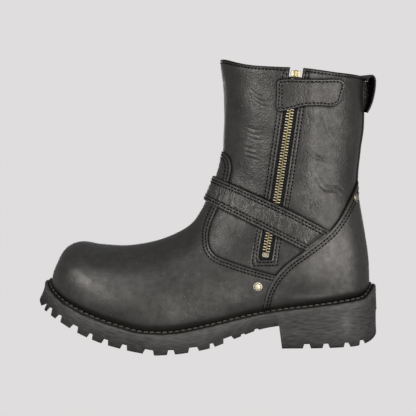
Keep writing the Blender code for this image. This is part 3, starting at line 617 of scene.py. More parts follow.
def heel_ring(share, inset):
    breast = HEEL_BREAST + HEEL_RAKE * (1 - share)
    kept = outline(inset)[WALL_X > HEEL_FRONT]
    inner, outer = half_width(np.array([breast, breast + HEEL_SKEW]), inset)
    loop = np.vstack([(breast, -inner[0]), kept, (breast + HEEL_SKEW, outer[1])])
    x = loop[:, 0]
    return np.column_stack([loop, (1 - share) * heel_floor(x) + share * (tread(x) - HEEL_GAP)])


heel_rings = [heel_ring(share, inset) for share, inset in through(HEEL_SIDE, HEEL_STEPS)]
heel = piece("heel_block", *stacked(heel_rings, tip=False), [RUBBER], ["heel"], "rubber")
cut_channels(heel, HEEL_GAPS, heel_floor, lambda x: LUG_DEPTH)
store_sole_tone(heel)
print("heel faces:", len(heel.data.polygons))

# %% [markdown]
# ## Welt and insole
# The welt is a leather strip that climbs from a groove inside the rim to the upper. The stitches that
# hold the sole lie on its slope. The insole is a plain board inside the boot.

# %% Welt and insole
WELT_SIDE = [  # inset, height over the rim
    (3.3, -3.5), (3.3, -1.2), (3.8, -1.0), (4.2, 0.6), (5.0, 1.7), (6.0, 2.0), (9.4, 1.8), (9.4, -3.5)]
WELT_GROOVE_SHADE, WELT_CRISP = -0.7, 60.0  # painted shade of the deep groove between the rim and the upper
INSOLE_THICK, INSOLE_INSET, INSOLE_ROUND = 3.0, 11.2, 0.6

count = len(WALL_X)
piece("welt_strip", np.vstack([ring(inset, rim(WALL_X) + up) for inset, up in WELT_SIDE]),
      ring_faces(len(WELT_SIDE), count, closed=True), [OILED_HIDE], ["welt"], "leather", crisp=WELT_CRISP,
      tone=np.full(len(WELT_SIDE) * count, WELT_GROOVE_SHADE))

board_base = seat(outline(INSOLE_INSET)[:, 0]) + SEAT_CLEAR
board_levels = [(0.0, 0.0), (0.0, INSOLE_THICK - INSOLE_ROUND), (INSOLE_ROUND, INSOLE_THICK)]
board_rings = [ring(INSOLE_INSET + inset, board_base + up) for inset, up in board_levels]
piece("insole_board_top", *stacked(board_rings), [LINING_HIDE], ["insole"], "insole_board")

# %% [markdown]
# ## The last
# Leather is pulled over a last, so the upper is one smooth skin. Each row of the table is a section that
# runs from its top point to its end on the feather line or the back seam, as a super-ellipse with its own
# widths. A fine grid through those rows gives the skin, and its normals carry every layer that is sewn on
# top.

# %% The last
FEATHER, TOE_TIP_X, HEEL_ROW, WALL = 8.0, -143.0, 15, 1.8
UPPER = np.array([  # top x, z, end x, z, widest inner, outer, its place, top and low roundness
    (-143.1, 62.0, -141.4, 0.0, 10.0, 9.6, 0.52, 2.0, 2.0),
    (-141.2, 69.4, -137.2, 0.0, 20.6, 20.0, 0.54, 2.1, 2.0),
    (-137.2, 78.2, -129.5, 0.0, 30.2, 29.6, 0.56, 2.2, 2.0),
    (-130.0, 89.8, -116.5, 0.0, 39.6, 39.0, 0.60, 2.3, 2.0),
    (-117.6, 94.8, -99.5, 0.0, 46.2, 45.8, 0.63, 2.3, 2.0),
    (-98.9, 92.0, -80.0, 0.0, 50.6, 50.6, 0.67, 2.25, 2.0),
    (-76.6, 90.4, -57.5, 0.0, 51.8, 52.4, 0.69, 2.15, 2.0),
    (-54.0, 92.8, -33.0, 0.0, 50.4, 52.9, 0.69, 2.05, 2.0),
    (-33.1, 98.9, -6.0, 0.0, 46.4, 51.0, 0.68, 1.95, 2.0),
    (-14.4, 108.6, 27.0, 0.0, 42.2, 46.8, 0.66, 1.9, 2.0),
    (-3.6, 121.4, 63.0, 0.0, 40.0, 42.6, 0.63, 1.9, 2.0),
    (3.6, 136.0, 98.5, 0.0, 39.2, 40.2, 0.59, 1.95, 2.1),
    (9.6, 151.0, 125.0, 0.0, 39.2, 39.6, 0.55, 2.0, 2.2),
    (14.0, 163.6, 140.0, 0.0, 39.6, 39.8, 0.53, 2.05, 2.2),
    (16.5, 175.6, 147.0, 0.0, 40.4, 40.4, 0.52, 2.1, 2.2),
    (17.4, 185.0, 149.2, 43.4, 41.2, 41.2, 0.51, 2.1, 2.2),
    (18.4, 195.6, 150.2, 60.0, 42.2, 42.2, 0.50, 2.1, 2.2),
    (18.9, 206.0, 148.4, 82.0, 43.2, 43.2, 0.50, 2.1, 2.2),
    (19.2, 216.0, 145.0, 104.0, 44.2, 44.2, 0.50, 2.1, 2.2),
    (19.2, 226.0, 140.2, 127.0, 45.2, 45.2, 0.50, 2.1, 2.2),
    (18.8, 235.0, 140.0, 152.0, 46.0, 46.0, 0.50, 2.1, 2.2),
    (18.1, 243.5, 142.2, 176.0, 46.6, 46.6, 0.50, 2.1, 2.2),
    (17.4, 251.6, 145.0, 198.0, 47.2, 47.2, 0.50, 2.1, 2.2),
    (16.9, 258.0, 145.4, 222.0, 47.8, 47.8, 0.50, 2.1, 2.2),
    (15.4, 267.0, 146.4, 249.0, 48.2, 48.2, 0.50, 2.1, 2.2)])
SPACING, HALF_POINTS, TOE_RINGS, END_SHARE = 2.2, 34, 3, 0.995


def last_grid():
    """Grid of points, a row for each section, and the number of the row that closes the heel."""
    rows = UPPER.copy()
    rows[:HEEL_ROW, 3] = seat(rows[:HEEL_ROW, 2]) + SEAT_CLEAR
    reach = np.maximum(np.linalg.norm(np.diff(rows[:, 0:2], axis=0), axis=1),
                       np.linalg.norm(np.diff(rows[:, 2:4], axis=0), axis=1))
    steps = np.maximum(reach / SPACING, 2).astype(int)
    heel_row = int(steps[:HEEL_ROW].sum())
    fine = through(rows, steps)
    ends = np.zeros((2, len(fine)))
    ends[:, :heel_row] = np.maximum(half_width(fine[:heel_row, 2], FEATHER), 0.0)
    fine[:heel_row, 3] = seat(fine[:heel_row, 2]) + SEAT_CLEAR
    grid = []
    for k, (top_x, top_z, end_x, end_z, inner, outer, place, n, m) in enumerate(fine):
        sides = []
        for widest, end in ((inner, ends[0, k]), (outer, ends[1, k])):
            turn = np.linspace(0, math.pi / 2, HALF_POINTS + 1)
            along = place * (1 - np.cos(turn) ** (2 / n))
            out = widest * np.sin(turn) ** (2 / n)
            share = min(end / widest, END_SHARE)
            depth = (1 - place) / (1 - share ** m) ** (1 / m)
            turn = np.linspace(0, math.acos(share ** (m / 2)), HALF_POINTS + 1)[1:]
            along = np.append(along, place + depth * np.sin(turn) ** (2 / m))
            out = np.append(out, widest * np.cos(turn) ** (2 / m))
            out[-1] = end
            sides.append((along, out))
        along = np.append(sides[0][0][::-1], sides[1][0][1:])
        across = np.append(-sides[0][1][::-1], sides[1][1][1:])
        section = np.column_stack([top_x + along * (end_x - top_x), across, top_z + along * (end_z - top_z)])
        grid.append(section)
    tip = np.array([TOE_TIP_X, 0.0, seat(TOE_TIP_X) + SEAT_CLEAR])
    front = [tip + (grid[0] - tip) * share for share in np.linspace(0, 1, TOE_RINGS + 1)[:-1]]
    return np.array(front + grid), heel_row + len(front)


def joined(grid, heel_row):
    """Points and triangles of the grid, with the toe tip and the back seam as single points."""
    rows, columns = grid.shape[:2]
    index = np.arange(rows * columns).reshape(rows, columns)
    index[0] = 0
    index[heel_row:, -1] = index[heel_row:, 0]
    a, b, d, e = (part.ravel() for part in (index[:-1, :-1], index[:-1, 1:], index[1:, 1:], index[1:, :-1]))
    inner = np.tile(np.arange(columns - 1) < columns // 2, rows - 1)
    faces = np.vstack([np.where(inner[:, None], np.column_stack([a, b, d]), np.column_stack([a, b, e])),
                       np.where(inner[:, None], np.column_stack([a, d, e]), np.column_stack([b, d, e]))])
    whole = (faces[:, 0] != faces[:, 1]) & (faces[:, 1] != faces[:, 2]) & (faces[:, 0] != faces[:, 2])
    used, faces = np.unique(faces[whole], return_inverse=True)
    return grid.reshape(-1, 3)[used], faces.reshape(-1, 3)


def point_normals(points, faces):
    corner = points[faces]
    square = np.cross(corner[:, 1] - corner[:, 0], corner[:, 2] - corner[:, 0])
    total = np.zeros_like(points)
    for k in range(3):
        np.add.at(total, faces[:, k], square)
    return unit(total)


SKIN, SKIN_FACES = joined(*last_grid())
NORMAL = point_normals(SKIN, SKIN_FACES)
if NORMAL[np.argmax(SKIN[:, 0]), 0] < 0:
    SKIN_FACES, NORMAL = SKIN_FACES[:, ::-1], -NORMAL
print("skin:", len(SKIN), "points,", len(SKIN_FACES), "triangles")

# %% [markdown]
# ## Relaxed heel
# The sections meet at the heel, where a real boot has no edge because a stiffener is moulded behind the
# leather. The grid is relaxed there: each point moves towards the middle of its neighbours. The leather
# is also drawn in just above the welt, where it's pulled under the last.

# %% Relaxed heel
RELAX_ROUNDS, RELAX_SHARE, RELAX_LOSS = 90, 0.6, 0.8  # relaxing draws the heel in by the loss
SOFT_X, SOFT_Z = (40.0, 75.0), (175.0, 140.0)  # relaxing grows from the first place to the second
TUCK, TUCK_HIGH = 2.0, 9.0


def edges_of(faces):
    return np.vstack([faces[:, [0, 1]], faces[:, [1, 2]], faces[:, [2, 0]]])


def relaxed(points, faces, weight, rounds):
    edges, times = np.unique(np.sort(edges_of(faces), axis=1), axis=0, return_counts=True)
    weight = weight.copy()
    weight[edges[times == 1].ravel()] = 0.0
    a, b = edges.T
    size = len(points)
    count = np.bincount(edges.ravel(), minlength=size)
    for _ in range(rounds):
        total = np.column_stack([np.bincount(a, points[b, i], size) + np.bincount(b, points[a, i], size)
                                 for i in range(3)])
        points = points + weight[:, None] * (total / count[:, None] - points)
    return points


def fade(value, start, end):
    t = np.clip((value - start) / (end - start), 0, 1)
    return t * t * (3 - 2 * t)


def above_welt(points):
    return points[:, 2] - rim(points[:, 0])


soft = fade(SKIN[:, 0], *SOFT_X) * fade(SKIN[:, 2], *SOFT_Z)
SKIN = relaxed(SKIN, SKIN_FACES, RELAX_SHARE * soft, RELAX_ROUNDS)
NORMAL = point_normals(SKIN, SKIN_FACES)
SKIN = SKIN + NORMAL * (RELAX_LOSS * soft - TUCK * fade(above_welt(SKIN), TUCK_HIGH, 0.0))[:, None]
NORMAL = point_normals(SKIN, SKIN_FACES)

# %% [markdown]
# ## Lines on the skin
# Panels are drawn in side view, as a pattern cutter draws them. A field gives every point its distance
# from a drawn line, positive inside the panel. Where a field passes a level, the triangles are scored, so
# that a row of points follows the line exactly and the edge of a panel is clean.

# %% Lines on the skin
CLEAR_OF_LINE = 1e-3  # a point nearer than this to a scored line counts as beyond it
EVERYWHERE = -1e6  # as a field's first level, this keeps the whole skin


def segments(line):
    return zip(line[:-1], line[1:])


def nearest(points, a, b):
    """Share along a side-view segment nearest to points, their distance, and the side they lie on."""
    along, offset = b - a, points[:, [0, 2]] - a
    share = np.clip(offset @ along / (along @ along), 0, 1)
    away = np.linalg.norm(offset - share[:, None] * along, axis=1)
    return share, away, np.where(along[0] * offset[:, 1] > along[1] * offset[:, 0], 1, -1)


def line_distance(points, line):
    """Distance from a line that is drawn in side view."""
    return np.minimum.reduce([nearest(points, a, b)[1] for a, b in segments(line)])


def inside(points, loop):
    """Whether points lie in a closed side-view outline."""
    x, z = points[:, 0], points[:, 2]
    found = np.zeros(len(points), bool)
    for (ax, az), (bx, bz) in zip(loop, np.roll(loop, -1, axis=0)):
        if az != bz:
            found ^= ((az > z) != (bz > z)) & (x < ax + (z - az) * (bx - ax) / (bz - az))
    return found


def score(points, faces, column, level):
    """Cuts triangles along the line where one column of the points passes a level."""
    over = points[:, column] - level
    over[np.abs(over) < CLEAR_OF_LINE] = CLEAR_OF_LINE
    side = over > 0
    count = side[faces].sum(axis=1)
    crossing = (count == 1) | (count == 2)
    cut = faces[crossing]
    lone = np.argmax(side[cut] == (count[crossing] == 1)[:, None], axis=1)
    p, q, r = (cut[np.arange(len(cut)), (lone + k) % 3] for k in range(3))
    pairs = np.sort(np.vstack([np.column_stack([p, q]), np.column_stack([p, r])]), axis=1)
    pairs, number = np.unique(pairs, axis=0, return_inverse=True)
    a, b = pairs.T
    new = points[a] + (points[b] - points[a]) * (over[a] / (over[a] - over[b]))[:, None]
    number = number.reshape(-1) + len(points)
    m, n = number[:len(cut)], number[len(cut):]
    parts = [np.column_stack(corners) for corners in ((p, m, n), (m, q, r), (m, r, n))]
    return np.vstack([points, new]), np.vstack([faces[~crossing]] + parts)


def cut_skin(*cuts):
    """Skin inside some fields, scored at each one's levels. Columns: point, normal, then the fields."""
    points = np.column_stack([SKIN, NORMAL] + [field for field, _ in cuts])
    near = np.all([field[SKIN_FACES].max(axis=1) > levels[0] for field, levels in cuts], axis=0)
    faces = SKIN_FACES[near]
    for column, (_, levels) in enumerate(cuts, start=6):
        for level in levels:
            points, faces = score(points, faces, column, level)
        faces = faces[points[faces, column].mean(axis=1) > levels[0]]
    used, faces = np.unique(faces, return_inverse=True)
    return points[used], faces.reshape(-1, 3)


def shell(points, faces, top, under):
    """Closed layer between two heights over the skin. The lower faces come last but for the sides."""
    high = points[:, :3] + points[:, 3:6] * np.reshape(top, (-1, 1))
    low = points[:, :3] + points[:, 3:6] * np.reshape(under, (-1, 1))
    edges = edges_of(faces)
    _, first, times = np.unique(np.sort(edges, axis=1), axis=0, return_index=True, return_counts=True)
    a, b = edges[first[times == 1]].T
    base = len(points)
    sides = np.vstack([np.column_stack([b, a, a + base]), np.column_stack([b, a + base, b + base])])
    return np.vstack([high, low]), np.vstack([faces, faces[:, ::-1] + base, sides])


# %% [markdown]
# ## Creases
# Worn leather folds at the ankle and beside the zip. The main creases are drawn in side view as
# soft troughs, some with a ridge beside them. Broad folds are pressed into the skin before any panel is
# cut, so the panels follow them. The narrow ones are pressed into the shaft later, where the skin is
# scored along them to hold their shape.

# %% Creases
CREASE_GROUPS = [  # side-view line, depth, number of lines, step from line to line
    ([(41.9, 233.9), (47.6, 227.9), (56.9, 224.8)], 0.42, 3, (1.4, -4.4)),
    ([(101.2, 213.9), (104.5, 204.5), (109.0, 190.3), (116.0, 186.6)], 0.26, 2, (4.4, 1.2)),
    ([(96.5, 154.8), (104.4, 142.0), (116.9, 139.8), (122.2, 135.2)], 0.30, 2, (2.6, 4.4)),
    ([(88.8, 123.4), (95.2, 130.4), (103.3, 133.9)], 0.22, 2, (3.6, -4.0)),
    ([(36.0, 173.3), (50.0, 169.5)], 0.30, 3, (-1.0, 4.6)),
    ([(37.7, 199.7), (45.0, 197.0), (52.0, 196.5)], 0.25, 3, (1.0, -4.6)),
    ([(93.0, 176.5), (102.0, 172.5), (111.0, 171.0)], 0.30, 2, (1.0, -4.5)),
]
CREASE_WIDTH, RIDGE_WIDTH, RIDGE_SHARE = 0.9, 1.3, -0.8
CREASE_LOSS = 0.8  # each line of a group is less deep than the last
CREASES = [(np.array(line) + (k + shift) * np.array(step), depth * share * CREASE_LOSS ** k, width)
           for line, depth, number, step in CREASE_GROUPS for k in range(number)
           for shift, share, width in ((0.0, 1.0, CREASE_WIDTH), (0.5, RIDGE_SHARE, RIDGE_WIDTH))]
FOLDS = [  # broad folds, drawn in the same way
    ([(62.2, 233.0), (58.4, 205.0), (53.0, 176.0), (48.0, 150.0)], 1.0, 9.0),
    ([(92.0, 227.0), (85.0, 185.0), (78.0, 138.0)], 0.6, 8.0),
]
CREASE_STEPS, CREASE_REACH, CREASE_TAPER = 6, 2.5, 0.7
CREASE_LEVELS = (EVERYWHERE, -1.0, -0.5, 0.0, 0.5, 1.0)
SLACK_SEED, SLACK_WAVES, SLACK_MM, SLACK_SLOPE, SLACK_LOW = 5, 30, (14.0, 42.0), 0.009, 0.4
SLACK_Z, SLACK_FOOT = (85.0, 130.0), (2.0, 14.0)  # slack grows up the shaft, and starts above the welt


def crease(points, line, depth, width):
    """Depth of a trough along a line, fading towards the ends of the line."""
    deepest = np.zeros(len(points))
    for k, (a, b) in enumerate(segments(line)):
        share, away, _ = nearest(points, a, b)
        strength = np.sin(math.pi * (k + share) / (len(line) - 1)) ** CREASE_TAPER
        deepest = np.maximum(deepest, strength * bell(away, width))
    return np.where(points[:, 1] < 0, depth * deepest, 0.0)


def creased(points, creases):
    """Depth of a list of creases at points."""
    return sum(crease(points, through(line, CREASE_STEPS), depth, width) for line, depth, width in creases)


def crease_side(points):
    """Distance from the nearest crease, negative on one side, so that the skin can be scored along it."""
    best = np.full(len(points), CREASE_REACH)
    for path in (through(line, CREASE_STEPS) for line, depth, _ in CREASES if depth > 0):
        for a, b in segments(path):
            _, away, side = nearest(points, a, b)
            best = np.where(away < np.abs(best), side * away, best)
    return np.where(points[:, 1] < 0, best, CREASE_REACH)


def slack(points):
    """Soft waves of leather that isn't pulled tight, seeded so that they stay the same."""
    rng = np.random.default_rng(SLACK_SEED)
    total = np.zeros(len(points))
    for length in np.linspace(*SLACK_MM, SLACK_WAVES):
        way = rng.normal(size=3)
        way *= 2 * math.pi / length / np.linalg.norm(way)
        total += length * np.sin(points @ way + rng.uniform(0, 2 * math.pi))
    return SLACK_SLOPE * total / math.sqrt(SLACK_WAVES)


pressed = creased(SKIN, FOLDS)
looseness = SLACK_LOW + (1 - SLACK_LOW) * fade(SKIN[:, 2], *SLACK_Z)
pressed += slack(SKIN) * looseness * fade(above_welt(SKIN), *SLACK_FOOT)
SKIN = SKIN - NORMAL * pressed[:, None]
NORMAL = point_normals(SKIN, SKIN_FACES)
print("creases:", len(CREASES), "folds:", len(FOLDS), "deepest in mm:", round(pressed.max(), 2))

# %% [markdown]
# ## The pattern
# These are the drawn lines of the panels, the zip and the collar, and the fields that they give. The
# field of a panel is positive on it.

# %% The pattern
VAMP_EDGE = [
    (-4.0, 177.4), (9.0, 178.2), (16.4, 177.0), (22.3, 172.8), (24.8, 164.0), (22.0, 151.0),
    (16.6, 137.6), (10.5, 124.8), (4.8, 112.2), (2.5, 102.0), (3.8, 92.0), (9.2, 85.2), (21.2, 80.1),
    (38.2, 74.1), (54.0, 69.2), (64.0, 66.4)]
COUNTER_EDGE = [
    (49.0, 30.0), (49.6, 35.8), (51.7, 46.6), (54.6, 55.0), (59.3, 63.2), (64.8, 70.4), (73.2, 78.2),
    (83.1, 85.4), (95.8, 94.2), (108.7, 104.2), (119.2, 116.2), (128.0, 130.0), (135.4, 142.0),
    (140.6, 150.0), (147.0, 154.0)]
STRAP_TOP = [
    (-16.0, 165.0), (8.2, 154.9), (22.0, 149.9), (53.6, 136.0), (76.1, 125.3), (107.6, 107.6),
    (116.0, 102.6)]
STRAP_LOW = [
    (-26.0, 143.6), (-2.4, 132.8), (11.7, 127.2), (46.8, 110.4), (68.1, 99.6), (86.4, 89.6), (96.0, 84.2)]
FLAP_EDGE = [
    (65.8, 212.8), (76.3, 213.7), (88.0, 216.6), (101.0, 216.8), (113.6, 215.9), (119.8, 219.6),
    (122.8, 227.6), (124.6, 235.0), (121.4, 238.8), (104.0, 239.6), (88.3, 240.0), (71.0, 240.5),
    (66.6, 239.0), (65.6, 226.7)]
COLLAR_EDGE = np.array([
    (-10.0, 268.0), (10.0, 264.4), (19.0, 261.6), (31.0, 257.0), (44.4, 253.6), (69.0, 251.0),
    (87.0, 249.8), (104.0, 247.6), (119.0, 245.6), (134.0, 244.4), (148.0, 243.4), (165.0, 242.0)])
COLLAR_TILT, COLLAR_NEAR = 0.05, -47.0
ZIP_LINE = np.array([
    (88.0, 280.0), (82.7, 247.9), (76.8, 212.6), (69.9, 169.9), (63.5, 131.5), (56.4, 102.2),
    (52.6, 80.6), (51.0, 70.0)])
ZIP_FOOT, SLOT_HALF = 81.2, 5.8
STAY_HALF, STAY_FOOT, STAY_TOP, STAY_FRONT = 9.0, 146.0, 240.6, 110.0
VAMP_CLOSE = [(64.0, 0.0), (-170.0, 0.0), (-170.0, 176.5)]  # these corners close the outline beyond the boot
COUNTER_CLOSE = [(170.0, 154.5), (170.0, 0.0), (49.0, 0.0)]
LINE_STEPS = 6
OFF = -50.0  # a field far outside its panel

vamp_line, counter_line = through(VAMP_EDGE, LINE_STEPS), through(COUNTER_EDGE, LINE_STEPS)
strap_top, strap_low = through(STRAP_TOP, LINE_STEPS), through(STRAP_LOW, LINE_STEPS)
zip_line, collar_line = through(ZIP_LINE, LINE_STEPS)[::-1], through(COLLAR_EDGE, LINE_STEPS)
flap_line = through(FLAP_EDGE, LINE_STEPS, closed=True)
flap_line = np.vstack([flap_line, flap_line[:1]])


def signed(p, loop, *lines):
    """Distance from drawn lines, positive inside a closed outline."""
    away = np.minimum.reduce([line_distance(p, line) for line in lines])
    return np.where(inside(p, loop), 1, -1) * away


def vamp_field(p):
    return signed(p, np.vstack([vamp_line, VAMP_CLOSE]), vamp_line)


def counter_field(p):
    return signed(p, np.vstack([counter_line, COUNTER_CLOSE]), counter_line)


def strap_field(p):
    return signed(p, np.vstack([strap_low, strap_top[::-1]]), strap_top, strap_low)


def flap_field(p):
    return np.where(p[:, 1] < 0, signed(p, flap_line, flap_line), OFF)


def slot_field(p):
    """Distance from the slot for the zip, positive on the leather."""
    across = np.abs(p[:, 0] - np.interp(p[:, 2], zip_line[:, 1], zip_line[:, 0])) - SLOT_HALF
    return np.where(p[:, 1] < 0, np.maximum(across, ZIP_FOOT - p[:, 2]), -OFF)


def collar_field(p):
    edge = np.interp(p[:, 0], collar_line[:, 0], collar_line[:, 1])
    return edge - COLLAR_TILT * (p[:, 1] - COLLAR_NEAR) - p[:, 2]


def stay_field(p):
    away = np.minimum(STAY_HALF - np.abs(p[:, 1]), np.minimum(p[:, 2] - STAY_FOOT, STAY_TOP - p[:, 2]))
    return np.where(p[:, 0] > STAY_FRONT, away, OFF)


VAMP, COUNTER, STRAP, FLAP = vamp_field(SKIN), counter_field(SKIN), strap_field(SKIN), flap_field(SKIN)
SLOT, COLLAR, STAY = slot_field(SKIN), collar_field(SKIN), stay_field(SKIN)
print("points on the vamp:", int((VAMP > 0).sum()), "on the counter:", int((COUNTER > 0).sum()))

# %% [markdown]
# ## Upper
# The shaft and quarters are one wall of leather with a lining behind it. It is open at the collar, along
# the zip and underneath. Its collar edge is rounded, and the lips of the zip slot turn in, with grooves
# under the stitch rows.

# %% Upper
EDGE_ROUND, GROOVE, GROOVE_HALF, GROOVE_STEPS = 1.0, 0.30, 0.75, (-1.3, -0.65, 0.0, 0.65, 1.3)
ZIP_ROWS, COLLAR_ROWS = (2.4, 5.4), (2.8,)
ROUND_LEVELS = (0.02, 0.12, 0.35, 0.7, 1.1)
# Painted shade along a cut edge (wider at the collar), a painted highlight on the flat just inside it
# (stronger on the flap), and painted shade in the stitch grooves
EDGE_DARK, EDGE_HALF, COLLAR_EDGE_HALF = 0.85, 0.45, 1.3
RIDGE_LIGHT, RIDGE_AT, RIDGE_HALF, FLAP_RIDGE = 0.15, 1.2, 0.6, 0.55
GROOVE_DARK, GROOVE_DARK_HALF = 0.22, 0.7
SHADE_DARK, SHADE_HALF = 0.75, 1.5  # painted shade on the leather beside a panel's edge
WELT_DARK, WELT_SHADE = 0.45, 14.0  # painted shade on a panel, fading out this far up from the welt
SHADE_LEVELS = (EVERYWHERE, -2.2, -1.1, -0.5)  # beside a panel, on the leather under it
COLLAR_ROUND, LINING_ROUND, COLLAR_HALF = 0.6, 0.5, 0.5
LIP_TURN, LIP_HALF, LIP_RIDGE, LIP_RIDGE_AT, LIP_RIDGE_HALF = 0.9, 0.45, 0.10, 1.1, 0.6
CREASE_PAINTED_LIGHT = 0.3  # painted shade in a crease and painted highlight on its ridge, for each millimetre of depth
UPPER_TRIANGLES = 185000  # the lining is plain, so it can be coarser than the leather
LIGHT_PATCHES_AND_SCUFFS = [  # painted highlights and painted shade, and two scuffs near the welt: side-view place, half width, half height, tone
    (-96.0, 61.0, 36.0, 17.0, 0.50), (110.0, 83.0, 26.0, 24.0, 0.42), (52.0, 205.0, 16.0, 40.0, 0.28),
    (85.0, 140.0, 14.0, 26.0, 0.35), (14.0, 106.0, 14.0, 12.0, 0.05), (6.0, 33.5, 12.0, 3.0, 0.30),
    (-116.0, 74.0, 13.0, 10.0, -0.42), (-86.0, 53.0, 20.0, 9.0, 0.38), (-4.0, 44.0, 26.0, 9.0, -0.26),
    (90.0, 58.0, 24.0, 11.0, -0.40), (-9.0, 85.0, 14.0, 9.0, -0.15), (94.0, 47.5, 16.0, 1.6, 0.55),
    (27.0, 103.0, 14.0, 16.0, -0.24), (-104.0, 88.0, 24.0, 10.0, 0.22)]


def groove_levels(rows):
    return tuple(row + step for row in rows for step in GROOVE_STEPS)


def grooves(distance, rows):
    return -GROOVE * sum(bell(distance - row, GROOVE_HALF) for row in rows)


def seam_tone(distance, rows, ridge=RIDGE_LIGHT, edge=EDGE_HALF):
    """Painted shade on the cut edge, a painted highlight on the flat beside it, and painted shade in the
    grooves under the stitches.
    """
    cut_edge = -EDGE_DARK * bell(distance, edge) + ridge * bell(distance - RIDGE_AT, RIDGE_HALF)
    return cut_edge - GROOVE_DARK * sum(bell(distance - row, GROOVE_DARK_HALF) for row in rows)


def painted_light_and_scuffs(points):
    """Tone of the hide: painted highlights, painted shade and scuffs in patches, painted shade in the narrow
    creases and painted highlights on the ridges beside them.
    """
    patches = sum(patch_tone(points[:, 0], points[:, 2], patch) for patch in LIGHT_PATCHES_AND_SCUFFS)
    return patches - CREASE_PAINTED_LIGHT * creased(points, CREASES)


covered = np.maximum.reduce([VAMP, COUNTER, STRAP, FLAP])
points, faces = cut_skin((COLLAR, ROUND_LEVELS + groove_levels(COLLAR_ROWS)),
                         (SLOT, ROUND_LEVELS + groove_levels(ZIP_ROWS)), (covered, SHADE_LEVELS),
                         (crease_side(SKIN), CREASE_LEVELS))
collar, slot, beside = points[:, 6], points[:, 7], points[:, 8]
top = (grooves(collar, COLLAR_ROWS) + grooves(slot, ZIP_ROWS) - COLLAR_ROUND * bell(collar, COLLAR_HALF)
       - LIP_TURN * bell(slot, LIP_HALF) + LIP_RIDGE * bell(slot - LIP_RIDGE_AT, LIP_RIDGE_HALF)
       - creased(points, CREASES))
under = -WALL + LINING_ROUND * bell(collar, COLLAR_HALF)
# Tone: painted light and scuffs in patches and creases, painted shade at the collar's edge, along the slot's
# edges and grooves, and beside each panel
tone = (painted_light_and_scuffs(points) + seam_tone(collar, COLLAR_ROWS, 0.0, COLLAR_EDGE_HALF) + seam_tone(slot, ZIP_ROWS)
        - SHADE_DARK * bell(np.minimum(beside, 0), SHADE_HALF))
upper_faces = len(faces)
upper = piece("upper_shell", *shell(points, faces, top, under), [OILED_HIDE, LINING_HIDE], ["upper"],
              "leather", second=range(upper_faces, 2 * upper_faces),
              tone=np.append(tone, np.zeros(len(points))))
upper.vertex_groups.new(name="lining").add(range(len(points), 2 * len(points)), 1.0, "REPLACE")
coarser = upper.modifiers.new("coarser_lining", "DECIMATE")
coarser.vertex_group, coarser.ratio = "lining", UPPER_TRIANGLES / len(upper.data.polygons)
applied(upper)
print("upper faces:", len(upper.data.polygons))

# %% [markdown]
# ## Panels
# The vamp, counter, strap, flap and backstay are cut from the same skin and sewn on. Each has a rounded
# edge and grooves under its stitches. Its tone paints shade on the cut edge and in the grooves, and a
# highlight just inside the edge. The strap thins where it runs under the counter.

# %% Panels
VAMP_OUT, COUNTER_OUT, STRAP_OUT, FLAP_OUT, STAY_OUT = 1.0, 2.1, 3.8, 2.7, 1.6
VAMP_ROWS, COUNTER_ROWS, STRAP_ROWS, FLAP_ROWS, STAY_ROWS = (2.4, 5.2), (3.3, 5.8), (3.0, 5.6), (2.3,), (1.8,)
UNDER, STRAP_DIVE, STRAP_THIN, STRAP_UNDER = -0.3, 6.0, 0.45, 4.0
FOOT_THIN, FOOT_RISE = 0.2, (1.0, 8.0)  # a panel's foot is skived thin, up to this height above the welt


def panel_top(distance, thickness, rows, rounding=EDGE_ROUND):
    rise = np.clip(distance / rounding, 0, 1)
    return thickness * np.sqrt(1 - (1 - rise) ** 2) + grooves(distance, rows) * rise


def panel(name, field, thickness, rows, hide, node, slot, extra=None, ridge=RIDGE_LIGHT):
    points, faces = cut_skin((field, ROUND_LEVELS + groove_levels(rows)))
    top = panel_top(points[:, 6], thickness, rows)
    top = top * (FOOT_THIN + (1 - FOOT_THIN) * fade(above_welt(points), *FOOT_RISE))
    if extra is not None:
        top = extra(points, top)
    # Tone: painted light and scuffs from patches and creases and along the seams, painted shade near the
    # welt, and painted shade on the cut edge and underside
    tone = painted_light_and_scuffs(points) + seam_tone(points[:, 6], rows, ridge)
    tone = tone - WELT_DARK * fade(above_welt(points), WELT_SHADE, 0.0)
    tone = np.append(tone, np.full(len(points), -EDGE_DARK))
    piece(name, *shell(points, faces, top, UNDER), [hide], [node], slot, tone=tone)


def thin_under_counter(points, top):
    return top * (STRAP_THIN + (1 - STRAP_THIN) * fade(-counter_field(points), 0.0, STRAP_DIVE))


panel("vamp_panel", VAMP, VAMP_OUT, VAMP_ROWS, OILED_HIDE, "upper", "leather")
panel("counter_panel", COUNTER, COUNTER_OUT, COUNTER_ROWS, OILED_HIDE, "counter", "leather")
panel("strap_band", np.minimum(STRAP, STRAP_UNDER - COUNTER), STRAP_OUT, STRAP_ROWS, SHRUNK_HIDE, "strap",
      "grained_leather", thin_under_counter)
panel("zip_flap_panel", FLAP, FLAP_OUT, FLAP_ROWS, OILED_HIDE, "zip_flap", "grained_leather",
      ridge=FLAP_RIDGE)
panel("backstay_strip", STAY, STAY_OUT, STAY_ROWS, OILED_HIDE, "backstay", "leather")

# %% [markdown]
# ## Zip
# The tape fills the slot a little below the leather. Teeth of both sides mesh along the middle: each has
# a nickelled leg and a brass head, and all of them are one joined mesh. A stop closes the foot, and the
# slider waits at the top.

